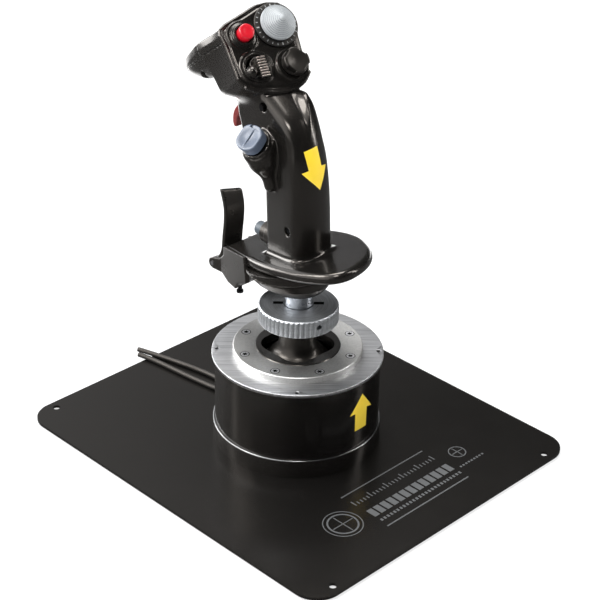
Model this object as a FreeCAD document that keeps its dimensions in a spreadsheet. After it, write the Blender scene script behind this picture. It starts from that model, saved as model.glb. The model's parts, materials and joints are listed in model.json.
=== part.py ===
import FreeCAD, Part
import math
import os

import Sketcher
from FreeCAD import Placement, Rotation, Vector

# Flight joystick.  The frame has +X to the user's right, +Y away from the user and +Z up.
# The origin is on the table, on the vertical axis of the round base.  Lengths are in mm.

document = FreeCAD.newDocument("FlightJoystick")

# Driving dimensions: alias, value, meaning.
DIMENSIONS = [
    # Plate and feet
    ("feet_height", 1.0, "rubber pads under the plate"),
    ("feet_radius", 11.0, "radius of a pad"),
    ("feet_across", 84.0, "pad centre from the axis in X"),
    ("feet_along", 112.0, "pad centre from the axis in Y"),
    ("plate_width", 251.0, "plate size in X"),
    ("plate_length", 291.0, "plate size in Y"),
    ("plate_top", 3.0, "height of the plate's top face"),
    ("plate_rounding", 18.0, "rounding of the plate corners"),
    ("plate_hole_radius", 2.6, "corner hole"),
    ("plate_hole_across", 104.5, "corner hole from the axis in X"),
    ("plate_hole_along", 138.5, "corner hole from the axis in Y"),
    ("plate_screw_circle", 46.0, "circle of the screws that hold the base"),
    ("plate_screw_radius", 2.0, "shank of those screws"),
    # Base
    ("floor_top", 6.0, "top of the base floor"),
    ("foot_radius", 58.5, "outside of the foot ring"),
    ("foot_top", 16.5, "top of the foot ring"),
    ("foot_bevel", 1.4, "bevel on the foot ring"),
    ("housing_radius", 57.0, "outside of the base housing"),
    ("housing_wall", 2.5, "wall of the base housing"),
    ("housing_top", 66.9, "top of the housing, under the flange"),
    ("flange_radius", 59.0, "aluminium flange"),
    ("flange_top", 69.4, "top of the flange"),
    ("flange_opening", 34.0, "opening in the flange"),
    ("flange_screw_circle", 55.4, "small black screws of the flange"),
    ("flange_screw_radius", 1.3, "those screws"),
    ("disc_radius", 44.5, "raised inner disc"),
    ("disc_top", 73.9, "top of the inner disc"),
    ("disc_screw_circle", 38.7, "eight cover screws"),
    ("disc_screw_radius", 1.5, "shank of a cover screw"),
    ("disc_head_radius", 3.1, "head of a cover screw"),
    ("disc_head_depth", 1.6, "head height of a cover screw"),
    ("gate_radius", 29.4, "outside of the black gate ring"),
    ("gate_half", 21.3, "half the width of the gate's square opening"),
    ("gate_corner", 12.0, "corner radius of the opening"),
    ("gate_lip_radius", 33.0, "lip held under the disc"),
    ("gate_lip_bottom", 67.9, "underside of the lip"),
    ("slot_half", 9.0, "half width of the cable opening"),
    ("slot_top", 15.0, "top of the cable opening"),
    # Gimbal
    ("pivot", 48.0, "height of the two crossing tilt axes"),
    ("frame_bottom", 16.0, "underside of the gimbal frame plate"),
    ("frame_top", 20.0, "top of the gimbal frame plate"),
    ("frame_radius", 43.0, "gimbal frame plate"),
    ("frame_opening", 4.0, "wire hole in the frame plate"),
    ("pillar_radius", 3.6, "pillars up to the flange"),
    ("post_inner", 19.5, "inner face of a bearing post"),
    ("post_outer", 24.0, "outer face of a bearing post"),
    ("post_half", 5.0, "half depth of a bearing post"),
    ("ring_inner", 13.0, "inside of the gimbal ring"),
    ("ring_outer", 18.0, "outside of the gimbal ring"),
    ("ring_half", 5.0, "half height of the ring and hub"),
    ("bush_radius", 3.5, "outside of a bush"),
    ("pin_radius", 2.5, "tilt pins"),
    ("running_gap", 0.05, "radial running clearance of pins"),
    ("hub_radius", 10.0, "hub of the stick shaft"),
    ("shaft_radius", 6.0, "stick shaft"),
    ("shaft_bottom", 26.0, "lower end of the shaft"),
    ("shaft_top", 100.0, "upper end of the shaft"),
    ("bore_radius", 2.4, "wire passage in the shaft"),
    ("seat_radius", 12.5, "spring seat"),
    ("seat_bottom", 35.6, "underside of the spring seat"),
    ("seat_top", 37.6, "top of the spring seat"),
    ("wire_radius", 1.0, "wire of the centring spring"),
    ("spring_low_radius", 17.2, "coil radius at the bottom"),
    ("spring_high_radius", 9.5, "coil radius at the top"),
    ("magnet_radius", 4.5, "sensor magnet"),
    ("sensor_radius", 14.5, "round sensor board"),
    ("magnet_bottom", 23.7, "underside of the magnet"),
    ("board_bottom", 8.5, "underside of the circuit board"),
    ("board_top", 10.0, "top of the circuit board"),
    ("board_half", 22.0, "half width of the circuit board"),
    # Dome, nut and neck
    ("dome_radius", 28.0, "ball part of the stick boot"),
    ("dome_wall", 2.2, "wall of the boot"),
    ("dome_edge", 7.0, "open edge above the pivot"),
    ("neck_top", 92.5, "top of the trumpet"),
    ("boss_radius", 17.9, "threaded connector"),
    ("boss_top", 101.9, "top of the connector"),
    ("nut_radius", 27.6, "locking nut"),
    ("nut_bottom", 93.2, "underside of the nut"),
    ("nut_top", 106.0, "top of the nut"),
    ("nut_plate", 1.4, "top plate of the nut"),
    ("nut_flutes", 50.0, "flutes around the nut"),
    ("neck_radius", 9.7, "neck of the grip"),
    ("neck_bore", 6.0, "bore of the neck"),
    ("neck_screw_height", 109.7, "small screw in the neck"),
    ("cable_radius", 1.8, "both cables"),
    # Hand rest
    ("cup_bottom", 118.0, "underside of the rest cup"),
    ("cup_low_radius", 15.2, "cup radius at the bottom"),
    ("cup_high_radius", 29.6, "cup radius at the edge line"),
    ("cup_edge", 129.5, "height of the edge line"),
    ("cup_shift", 9.0, "the upper cup's offset forward"),
    ("cup_wall", 2.5, "wall of the cup"),
    ("rest_height", 144.0, "top of the hand rest on the axis"),
    ("rest_slope", -13.0, "slope of the hand rest about X, degrees"),
    ("rest_thickness", 8.0, "thickness of the hand rest"),
    ("rest_rounding", 3.5, "rounding of the rim"),
    # Paddle
    ("wall_inner", 9.6, "inner face of a bracket wall"),
    ("wall_outer", 12.4, "outer face of a bracket wall"),
    ("paddle_half", 8.7, "half width of the paddle"),
    ("paddle_drop", 4.1, "how much lower the paddle's right end is"),
    ("paddle_thickness", 3.0, "thickness of the paddle"),
    ("hinge_along", 73.0, "paddle hinge in Y"),
    ("hinge_height", 112.5, "paddle hinge in Z"),
    ("hinge_radius", 3.6, "barrel of the hinge"),
    ("hinge_pin_radius", 1.5, "pin of the hinge"),
    # Grip
    ("grip_flat_half", 9.0, "half width of the front flat"),
    ("grip_front", 22.3, "front flat from the centre line"),
    ("grip_half", 17.0, "half width at the creases"),
    ("grip_crease", -9.5, "creases from the centre line"),
    ("grip_back", -19.3, "back from the centre line"),
    ("grip_wall", 2.6, "wall of the grip shells"),
    ("shoulder_height", 250.0, "shoulder of the grip at y = 0"),
    ("shoulder_slope", 23.0, "slope of the shoulder, degrees"),
    ("button_height", 149.0, "front button"),
    ("button_radius", 4.8, "front button"),
    ("button_end", 39.0, "end of the front button in Y"),
    ("collar_radius", 8.0, "collar of the front button"),
    # Head
    ("head_x", -24.0, "face corner in X"),
    ("head_y", 32.0, "face corner in Y"),
    ("head_z", 262.0, "face corner in Z"),
    ("head_yaw", -15.5, "turn of the face about Z, degrees"),
    ("head_tilt", 48.1, "tilt of the face, degrees"),
    ("head_depth", 36.0, "depth of the head shell behind the face"),
    ("nose_depth", 70.0, "depth of the nose cap"),
    ("head_wall", 2.6, "wall of the head"),
    ("panel_thickness", 2.0, "inset face panel"),
    ("hat_depth", 8.0, "tilt centre of a face hat below the face"),
    ("side_hat_depth", 12.0, "tilt centre of the side hat below its centre"),
    ("trigger_along", 47.0, "trigger pin in Y"),
    ("trigger_height", 236.5, "trigger pin in Z"),
]

sheet = document.addObject("Spreadsheet::Sheet", "Sizes")
for row, (alias, value, meaning) in enumerate(DIMENSIONS, start=1):
    sheet.set(f"A{row}", alias)
    sheet.set(f"B{row}", str(value))
    sheet.setAlias(f"B{row}", alias)
    sheet.set(f"C{row}", meaning)
document.recompute()


class Size:
    """A length or angle that keeps its spreadsheet expression beside its value."""

    def __init__(self, text, value):
        self.text = text
        self.value = float(value)

    @staticmethod
    def of(number):
        if isinstance(number, Size):
            return number
        return Size(f"({float(number)})", number)

    def __add__(self, other):
        other = Size.of(other)
        return Size(f"({self.text} + {other.text})", self.value + other.value)

    def __sub__(self, other):
        other = Size.of(other)
        return Size(f"({self.text} - {other.text})", self.value - other.value)

    def __mul__(self, other):
        other = Size.of(other)
        return Size(f"({self.text} * {other.text})", self.value * other.value)

    def __neg__(self):
        return Size(f"(0 - {self.text})", -self.value)

    __radd__ = __add__
    __rmul__ = __mul__

    def __rsub__(self, other):
        return Size.of(other) - self


class Sizes:
    """Named access to the sheet: d.plate_top is the Size of that cell."""

    def __getattr__(self, alias):
        return Size(f"Sizes.{alias}", sheet.get(alias))


d = Sizes()
ZERO = Size("0", 0)
TURN_X = Rotation(Vector(0, 1, 0), 90)
TURN_Y = Rotation(Vector(1, 0, 0), -90)
UPRIGHT = Rotation()
nodes = {}


# ---------------------------------------------------------------- helpers

def bind(thing, name, size):
    thing.setExpression(name, Size.of(size).text)


def move(thing, x=0, y=0, z=0, rotation=UPRIGHT):
    """Place a primitive or boolean; its position stays bound to the sheet."""
    x, y, z = Size.of(x), Size.of(y), Size.of(z)
    thing.Placement = Placement(Vector(x.value, y.value, z.value), rotation)
    for axis, size in zip("xyz", (x, y, z)):
        bind(thing, f"Placement.Base.{axis}", size)
    return thing


def node(name, thing):
    """Name a finished sub-part: its label is its file's name."""
    thing.Label = name
    nodes[name] = thing
    return thing


def cylinder(name, radius, height, x=0, y=0, z=0, rotation=UPRIGHT):
    thing = document.addObject("Part::Cylinder", name)
    bind(thing, "Radius", radius)
    bind(thing, "Height", height)
    return move(thing, x, y, z, rotation)


def box(name, length, width, height, x=0, y=0, z=0, rotation=UPRIGHT):
    thing = document.addObject("Part::Box", name)
    bind(thing, "Length", length)
    bind(thing, "Width", width)
    bind(thing, "Height", height)
    return move(thing, x, y, z, rotation)


def cut(name, base, *tools):
    tool = tools[0] if len(tools) == 1 else fuse(f"{name}_tools", *tools)
    thing = document.addObject("Part::Cut", name)
    thing.Base = base
    thing.Tool = tool
    return thing


def fuse(name, *pieces):
    thing = document.addObject("Part::MultiFuse", name)
    thing.Shapes = list(pieces)
    return thing


def group(name, *pieces):
    """Separate, like solids that share one node."""
    thing = document.addObject("Part::Compound", name)
    thing.Links = list(pieces)
    return thing


def shaped(name, shape, placement=None):
    """A free form whose shape comes from lofts and sweeps."""
    thing = document.addObject("Part::Feature", name)
    thing.Shape = shape
    if placement is not None:
        thing.Placement = placement
    return thing


def polar(count, radius, start=0.0):
    """Places around a circle, each as a pair of Sizes."""
    places = []
    for i in range(count):
        angle = math.radians(start + 360.0 * i / count)
        places.append((radius * round(math.cos(angle), 6), radius * round(math.sin(angle), 6)))
    return places


def new_body(name):
    return document.addObject("PartDesign::Body", name)


def new_sketch(body, role, lift=ZERO):
    """A sketch on one of the body's own origin planes, lifted along its normal."""
    sketch = body.newObject("Sketcher::SketchObject", f"{body.Name}_sketch")
    plane = [item for item in body.Origin.OriginFeatures if item.Role == role][0]
    sketch.AttachmentSupport = [(plane, "")]
    sketch.MapMode = "FlatFace"
    bind(sketch, "AttachmentOffset.Base.z", lift)
    return sketch


def hold(sketch, items):
    """Add constraints and bind each sized one to its expression."""
    for item, size in items:
        index = sketch.addConstraint(item)
        if size is not None:
            sketch.setExpression(f"Constraints[{index}]", size.text)


def pinned(shape, point, across, up):
    return [
        (Sketcher.Constraint("DistanceX", shape, point, across.value), across),
        (Sketcher.Constraint("DistanceY", shape, point, up.value), up),
    ]


def draw_polygon(sketch, corners):
    corners = [(Size.of(across), Size.of(up)) for across, up in corners]
    first = sketch.GeometryCount
    count = len(corners)
    points = [Vector(across.value, up.value, 0) for across, up in corners]
    for i in range(count):
        sketch.addGeometry(Part.LineSegment(points[i], points[(i + 1) % count]), False)
    items = []
    for i in range(count):
        after = first + (i + 1) % count
        items.append((Sketcher.Constraint("Coincident", first + i, 2, after, 1), None))
    for i, (across, up) in enumerate(corners):
        items += pinned(first + i, 1, across, up)
    hold(sketch, items)


def draw_circle(sketch, radius, across=0, up=0):
    radius, across, up = Size.of(radius), Size.of(across), Size.of(up)
    centre = Vector(across.value, up.value, 0)
    index = sketch.addGeometry(Part.Circle(centre, Vector(0, 0, 1), radius.value), False)
    items = pinned(index, 3, across, up)
    items.append((Sketcher.Constraint("Radius", index, radius.value), radius))
    hold(sketch, items)


def revolve(name, corners):
    """A turned piece from an outline of (radius, height) corners."""
    body = new_body(name)
    sketch = new_sketch(body, "XZ_Plane")
    draw_polygon(sketch, corners)
    turned = body.newObject("PartDesign::Revolution", f"{name}_turned")
    turned.Profile = sketch
    turned.ReferenceAxis = (sketch, ["V_Axis"])
    turned.Angle = 360.0
    body.Tip = turned
    return body


def pad(body, sketch, length, backwards=False):
    feature = body.newObject("PartDesign::Pad", f"{body.Name}_pad")
    feature.Profile = sketch
    feature.Reversed = backwards
    bind(feature, "Length", length)
    body.Tip = feature
    return feature


def pocket(body, sketch, depth, backwards=False):
    feature = body.newObject("PartDesign::Pocket", f"{body.Name}_pocket")
    feature.Profile = sketch
    feature.Reversed = backwards
    bind(feature, "Length", depth)
    body.Tip = feature
    return feature


def drill(body, top, depth, radius, places):
    """Round holes from height top down by depth."""
    sketch = new_sketch(body, "XY_Plane", Size.of(top))
    for across, up in places:
        draw_circle(sketch, radius, across, up)
    return pocket(body, sketch, depth)


def soften(body, radius, wanted, kind="Fillet"):
    """Round or bevel the edges of the body's tip that the test picks out."""
    document.recompute()
    tip = body.Tip
    names = [f"Edge{i}" for i, edge in enumerate(tip.Shape.Edges, start=1) if wanted(edge)]
    feature = body.newObject(f"PartDesign::{kind}", f"{body.Name}_soft")
    feature.Base = (tip, names)
    bind(feature, "Radius" if kind == "Fillet" else "Size", radius)
    body.Tip = feature
    return feature


def is_upright(edge):
    box_ = edge.BoundBox
    return box_.XLength < 1e-4 and box_.YLength < 1e-4 and box_.ZLength > 0.1


# ---------------------------------------------------------------- plate and feet

def build_plate():
    half_width = d.plate_width * 0.5
    half_length = d.plate_length * 0.5
    body = new_body("base_plate")
    sketch = new_sketch(body, "XY_Plane", d.feet_height)
    draw_polygon(sketch, [
        (half_width, half_length),
        (-half_width, half_length),
        (-half_width, -half_length),
        (half_width, -half_length),
    ])
    pad(body, sketch, d.plate_top - d.feet_height)
    soften(body, d.plate_rounding, is_upright)
    across, along = d.plate_hole_across, d.plate_hole_along
    places = [(sx * across, sy * along) for sx in (1, -1) for sy in (1, -1)]
    drill(body, d.plate_top, d.plate_top, d.plate_hole_radius, places)
    drill(body, d.plate_top, d.plate_top, d.plate_screw_radius, polar(4, d.plate_screw_circle, 45))
    node("base_plate", body)

    pads = [cylinder("plate_foot", d.feet_radius, d.feet_height)]
    for sx in (1, -1):
        for sy in (1, -1):
            x, y = sx * d.feet_across, sy * d.feet_along
            pads.append(cylinder("plate_foot", d.feet_radius, d.feet_height, x, y))
    node("plate_feet", group("plate_feet_group", *pads))

    screws = []
    for x, y in polar(4, d.plate_screw_circle, 45):
        screws.append(cylinder("plate_screw", d.plate_screw_radius, 6.0, x, y, d.feet_height))
    node("plate_screws", group("plate_screws_group", *screws))


# ---------------------------------------------------------------- base

def build_base():
    wall = d.housing_radius
    body = revolve("base_floor", [
        (0, d.plate_top),
        (d.foot_radius, d.plate_top),
        (d.foot_radius, d.foot_top - d.foot_bevel),
        (d.foot_radius - d.foot_bevel * 0.6, d.foot_top),
        (wall, d.foot_top),
        (wall, d.floor_top),
        (0, d.floor_top),
    ])
    standoffs = new_sketch(body, "XY_Plane", d.floor_top)
    for x, y in polar(4, d.board_half, 45):
        draw_circle(standoffs, 3.0, x, y)
    pad(body, standoffs, d.board_bottom - d.floor_top)
    bosses = new_sketch(body, "XY_Plane", d.floor_top)
    for x, y in polar(4, d.plate_screw_circle, 45):
        draw_circle(bosses, 5.0, x, y)
    pad(body, bosses, 4.0)
    drill(body, d.feet_height + 6.0, 6.0, d.plate_screw_radius, polar(4, d.plate_screw_circle, 45))
    cable_slot(body)
    node("base_floor", body)

    body = revolve("base_housing", [
        (wall - d.housing_wall, d.floor_top),
        (wall, d.floor_top),
        (wall, d.housing_top),
        (wall - d.housing_wall, d.housing_top),
    ])
    drill(body, d.housing_top, 7.0, d.flange_screw_radius * 0.8, polar(4, d.flange_screw_circle, 45))
    cable_slot(body)
    node("base_housing", body)

    body = revolve("top_flange", [
        (d.flange_opening, d.housing_top),
        (d.flange_radius - 0.4, d.housing_top),
        (d.flange_radius, d.housing_top + 0.4),
        (d.flange_radius, d.flange_top - 0.4),
        (d.flange_radius - 0.4, d.flange_top),
        (d.flange_opening, d.flange_top),
    ])
    drill(body, d.flange_top, 6.0, d.flange_screw_radius, polar(4, d.flange_screw_circle, 45))
    drill(body, d.flange_top, 6.0, d.disc_screw_radius, polar(8, d.disc_screw_circle, 22.5))
    node("top_flange", body)

    screws = []
    for x, y in polar(4, d.flange_screw_circle, 45):
        head = cylinder("flange_head", d.flange_screw_radius, 2.1, x, y, d.housing_top)
        shank = cylinder("flange_shank", d.flange_screw_radius * 0.8, 6.0, x, y, d.housing_top - 6.0)
        screws.append(fuse("flange_screw", head, shank))
    node("flange_screws", group("flange_screws_group", *screws))

    body = revolve("cover_disc", [
        (d.gate_radius, d.flange_top),
        (d.disc_radius, d.flange_top),
        (d.disc_radius, d.disc_top - 0.5),
        (d.disc_radius - 0.5, d.disc_top),
        (d.gate_radius, d.disc_top),
    ])
    drill(body, d.disc_top, 6.0, d.disc_screw_radius, polar(8, d.disc_screw_circle, 22.5))
    drill(body, d.disc_top, d.disc_head_depth, d.disc_head_radius, polar(8, d.disc_screw_circle, 22.5))
    node("cover_disc", body)

    screws = []
    shank_bottom = d.housing_top - 9.0
    for x, y in polar(8, d.disc_screw_circle, 22.5):
        head_bottom = d.disc_top - d.disc_head_depth
        head = cylinder("cover_head", d.disc_head_radius, d.disc_head_depth - 0.2, x, y, head_bottom)
        shank = cylinder("cover_shank", d.disc_screw_radius, head_bottom - shank_bottom, x, y, shank_bottom)
        socket = cylinder("cover_socket", 1.5, 1.1, x, y, d.disc_top - 1.2)
        screws.append(cut("cover_screw", fuse("cover_blank", head, shank), socket))
    node("cover_screws", group("cover_screws_group", *screws))


def cable_slot(body):
    """The opening at the back through which the cables leave."""
    sketch = new_sketch(body, "XY_Plane", d.slot_top)
    back = d.foot_radius + 2.0
    front = d.housing_radius - d.housing_wall - 2.0
    half = d.slot_half
    draw_polygon(sketch, [(-half, front), (half, front), (half, back), (-half, back)])
    pocket(body, sketch, d.slot_top - d.floor_top)


def build_gate():
    """Black ring whose rounded square opening limits the stick's tilt."""
    body = revolve("gate_ring", [
        (15, d.gate_lip_bottom),
        (d.gate_lip_radius, d.gate_lip_bottom),
        (d.gate_lip_radius, d.flange_top),
        (d.gate_radius, d.flange_top),
        (d.gate_radius, d.disc_top - 0.1),
        (d.gate_radius - 0.6, d.disc_top + 0.4),
        (15, d.disc_top + 0.4),
    ])
    half, corner = d.gate_half, d.gate_corner
    slab_tall = 20.0
    low = d.gate_lip_bottom - 2.0
    long_x = box("gate_x", 2 * half, 2 * (half - corner), slab_tall, -half, corner - half, low)
    long_y = box("gate_y", 2 * (half - corner), 2 * half, slab_tall, corner - half, -half, low)
    tools = [long_x, long_y]
    for sx in (1, -1):
        for sy in (1, -1):
            x, y = sx * (half - corner), sy * (half - corner)
            tools.append(cylinder("gate_corner_cut", corner, slab_tall, x, y, low))
    node("gate_ring", cut("gate_ring_cut", body, *tools))


# ---------------------------------------------------------------- gimbal

def build_gimbal():
    body = new_body("gimbal_frame")
    plate = new_sketch(body, "XY_Plane", d.frame_bottom)
    draw_circle(plate, d.frame_radius)
    draw_circle(plate, d.frame_opening)
    pad(body, plate, d.frame_top - d.frame_bottom)
    pillars = new_sketch(body, "XY_Plane", d.floor_top)
    for x, y in polar(8, d.disc_screw_circle, 22.5):
        draw_circle(pillars, d.pillar_radius, x, y)
    pad(body, pillars, d.housing_top - d.floor_top)
    posts = new_sketch(body, "XY_Plane", d.frame_bottom)
    for side in (1, -1):
        near, far, half = side * d.post_inner, side * d.post_outer, d.post_half
        draw_polygon(posts, [(near, -half), (far, -half), (far, half), (near, half)])
    pad(body, posts, d.pivot + d.post_half - d.frame_bottom)
    across = new_sketch(body, "YZ_Plane", -d.post_outer)
    draw_circle(across, d.bush_radius, 0, d.pivot)
    pocket(body, across, 2 * d.post_outer, backwards=True)
    drill(body, d.housing_top, 10.0, d.disc_screw_radius, polar(8, d.disc_screw_circle, 22.5))
    node("gimbal_frame", body)

    node("pitch_bushes", sleeves("pitch_bush", d.post_inner, d.post_outer, TURN_X))
    node("roll_bushes", sleeves("roll_bush", d.shaft_radius + 0.5, d.hub_radius - 0.1, TURN_Y))
    node("pitch_pins", pins("pitch_pin", d.ring_inner + 0.2, d.post_outer - 0.2, TURN_X))
    node("roll_pins", pins("roll_pin", d.shaft_radius + 0.8, d.ring_outer - 0.2, TURN_Y))

    body = revolve("gimbal_ring", [
        (d.ring_inner, d.pivot - d.ring_half),
        (d.ring_outer, d.pivot - d.ring_half),
        (d.ring_outer, d.pivot + d.ring_half),
        (d.ring_inner, d.pivot + d.ring_half),
    ])
    for role in ("XZ_Plane", "YZ_Plane"):
        sketch = new_sketch(body, role, -d.ring_outer)
        draw_circle(sketch, d.pin_radius, 0, d.pivot)
        pocket(body, sketch, 2 * d.ring_outer, backwards=True)
    node("gimbal_ring", body)


def along_axis(name, radius, start, end, rotation, side):
    """A cylinder on a tilt axis between two distances from the pivot."""
    length = end - start
    reach = start if side > 0 else -end
    if rotation is TURN_X:
        return cylinder(name, radius, length, reach, 0, d.pivot, rotation)
    return cylinder(name, radius, length, 0, reach, d.pivot, rotation)


def pins(name, start, end, rotation):
    pair = [along_axis(name, d.pin_radius, start, end, rotation, side) for side in (1, -1)]
    return group(f"{name}_pair", *pair)


def sleeves(name, start, end, rotation):
    pair = []
    for side in (1, -1):
        outer = along_axis(f"{name}_outer", d.bush_radius, start, end, rotation, side)
        inner = along_axis(f"{name}_inner", d.pin_radius + d.running_gap, start, end, rotation, side)
        pair.append(cut(name, outer, inner))
    return group(f"{name}_pair", *pair)


def build_stick_core():
    hub_low, hub_high = d.pivot - d.ring_half, d.pivot + d.ring_half
    body = revolve("stick_shaft", [
        (d.bore_radius, d.shaft_bottom + 3.0),
        (0, d.shaft_bottom + 3.0),
        (0, d.shaft_bottom),
        (d.shaft_radius, d.shaft_bottom),
        (d.shaft_radius, hub_low),
        (d.hub_radius, hub_low),
        (d.hub_radius, hub_high),
        (d.shaft_radius, hub_high),
        (d.shaft_radius, d.shaft_top),
        (d.bore_radius, d.shaft_top),
    ])
    across = new_sketch(body, "XZ_Plane", -d.hub_radius)
    draw_circle(across, d.bush_radius, 0, d.pivot)
    pocket(body, across, d.hub_radius - d.shaft_radius - 0.5, backwards=True)
    behind = new_sketch(body, "XZ_Plane", d.hub_radius)
    draw_circle(behind, d.bush_radius, 0, d.pivot)
    pocket(body, behind, d.hub_radius - d.shaft_radius - 0.5)
    node("stick_shaft", body)

    node("spring_seat", revolve("spring_seat", [
        (d.shaft_radius, d.seat_bottom),
        (d.seat_radius, d.seat_bottom),
        (d.seat_radius, d.seat_top),
        (d.shaft_radius, d.seat_top),
    ]))
    low = d.frame_top.value + d.wire_radius.value + 0.1
    high = d.seat_bottom.value - d.wire_radius.value - 0.1
    node("centering_spring", shaped("centering_spring", cone_spring(
        d.spring_low_radius.value, d.spring_high_radius.value, low, high, 3.5, d.wire_radius.value)))

    tall = d.shaft_bottom - d.magnet_bottom
    node("sensor_magnet", cylinder("sensor_magnet", d.magnet_radius, tall, 0, 0, d.magnet_bottom))
    slab = cylinder("sensor_slab", d.sensor_radius, 1.5, 0, 0, d.frame_top)
    chip = box("sensor_chip", 5, 5, 0.9, -2.5, -2.5, d.frame_top + 1.5)
    node("sensor_board", fuse("sensor_board_all", slab, chip))

    half = d.board_half
    slab = box("board_slab", 2 * half, 2 * half, d.board_top - d.board_bottom, -half, -half, d.board_bottom)
    chip = box("board_chip", 9, 9, 1.2, -4.5, -4.5, d.board_top)
    plug = box("board_plug", 12, 6, 4.0, -6, 14, d.board_top)
    node("main_board", fuse("main_board_all", slab, chip, plug))


def cone_spring(low_radius, high_radius, low, high, turns, wire):
    """A conical compression coil: a round wire swept along a tapering helix."""
    steps = int(turns * 16)
    path = []
    for i in range(steps + 1):
        part = i / steps
        radius = low_radius + (high_radius - low_radius) * part
        angle = 2 * math.pi * turns * part
        path.append(Vector(radius * math.cos(angle), radius * math.sin(angle), low + (high - low) * part))
    return wire_along(path, wire)


def wire_along(path, radius):
    curve = Part.BSplineCurve()
    curve.interpolate(path)
    spine = Part.Wire([curve.toShape()])
    start = curve.value(curve.FirstParameter)
    ahead = curve.tangent(curve.FirstParameter)[0]
    ring = Part.Wire([Part.makeCircle(radius, start, ahead)])
    return spine.makePipeShell([ring], True, True)


# ---------------------------------------------------------------- cables

CABLE_PATHS = {
    "usb_cable": [(4.5, 44, 12.5), (4.5, 52, 10.5), (4.5, 60, 9.0), (4.2, 76, 5.4), (3.4, 91, 4.9),
                  (-2.0, 121, 4.9), (-6.5, 139, 4.9), (-12.0, 158, 4.9)],
    "link_cable": [(-4.5, 44, 12.5), (-4.5, 52, 10.5), (-4.5, 60, 9.0), (-6.2, 76, 5.4),
                   (-8.2, 90, 4.9), (-10.4, 108, 4.9), (-12.6, 130, 4.9), (-16.5, 152, 4.9)],
}


def build_cables():
    radius = d.cable_radius.value
    slack = 0.02
    holes = []
    for name, path in CABLE_PATHS.items():
        points = [Vector(*point) for point in path]
        node(name, shaped(name, wire_along(points, radius)))
        holes.append(wire_along(points, radius + slack))
    half = d.slot_half.value
    low = d.floor_top.value
    high = d.slot_top.value
    front = d.housing_radius.value - d.housing_wall.value - 1.0
    back = d.foot_radius.value + 1.2
    body = Part.makeBox(2 * half, back - front, high - low, Vector(-half, front, low))
    for hole in holes:
        body = body.cut(hole)
    node("cable_gland", shaped("cable_gland", body))


# ---------------------------------------------------------------- dome, nut and neck

def build_dome():
    """Glossy boot: a ball around the pivot that runs up into a narrow trumpet."""
    edge = d.dome_edge.value
    pivot = d.pivot.value
    outer = d.dome_radius.value
    inner = outer - d.dome_wall.value
    blend = math.radians(52.0)
    top = d.neck_top.value
    start = math.asin(edge / outer)
    middle = (start + blend) / 2
    inner_start = math.asin(edge / inner)

    def on_ball(radius, angle):
        return Vector(radius * math.cos(angle), 0, pivot + radius * math.sin(angle))

    neck_low = Vector(13.3, 0, 76.5)
    neck_mid = Vector(12.2, 0, 82.0)
    neck_end = Vector(11.8, 0, top)
    shaft = d.shaft_radius.value
    curve = Part.BSplineCurve()
    foot = on_ball(outer, blend)
    curve.interpolate([foot, Vector(15.1, 0, 72.2), neck_low, neck_mid, neck_end])
    inner_blend = math.radians(58.0)
    edges = [
        Part.Arc(on_ball(outer, start), on_ball(outer, middle), foot).toShape(),
        curve.toShape(),
        Part.makeLine(neck_end, Vector(shaft, 0, top)),
        Part.makeLine(Vector(shaft, 0, top), Vector(shaft, 0, 74.0)),
        Part.makeLine(Vector(shaft, 0, 74.0), on_ball(inner, inner_blend)),
        Part.Arc(on_ball(inner, inner_blend), on_ball(inner, (inner_start + inner_blend) / 2),
                 on_ball(inner, inner_start)).toShape(),
        Part.makeLine(on_ball(inner, inner_start), on_ball(outer, start)),
    ]
    face = Part.Face(Part.Wire(edges))
    node("stick_dome", shaped("stick_dome", face.revolve(Vector(0, 0, 0), Vector(0, 0, 1), 360)))


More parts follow.
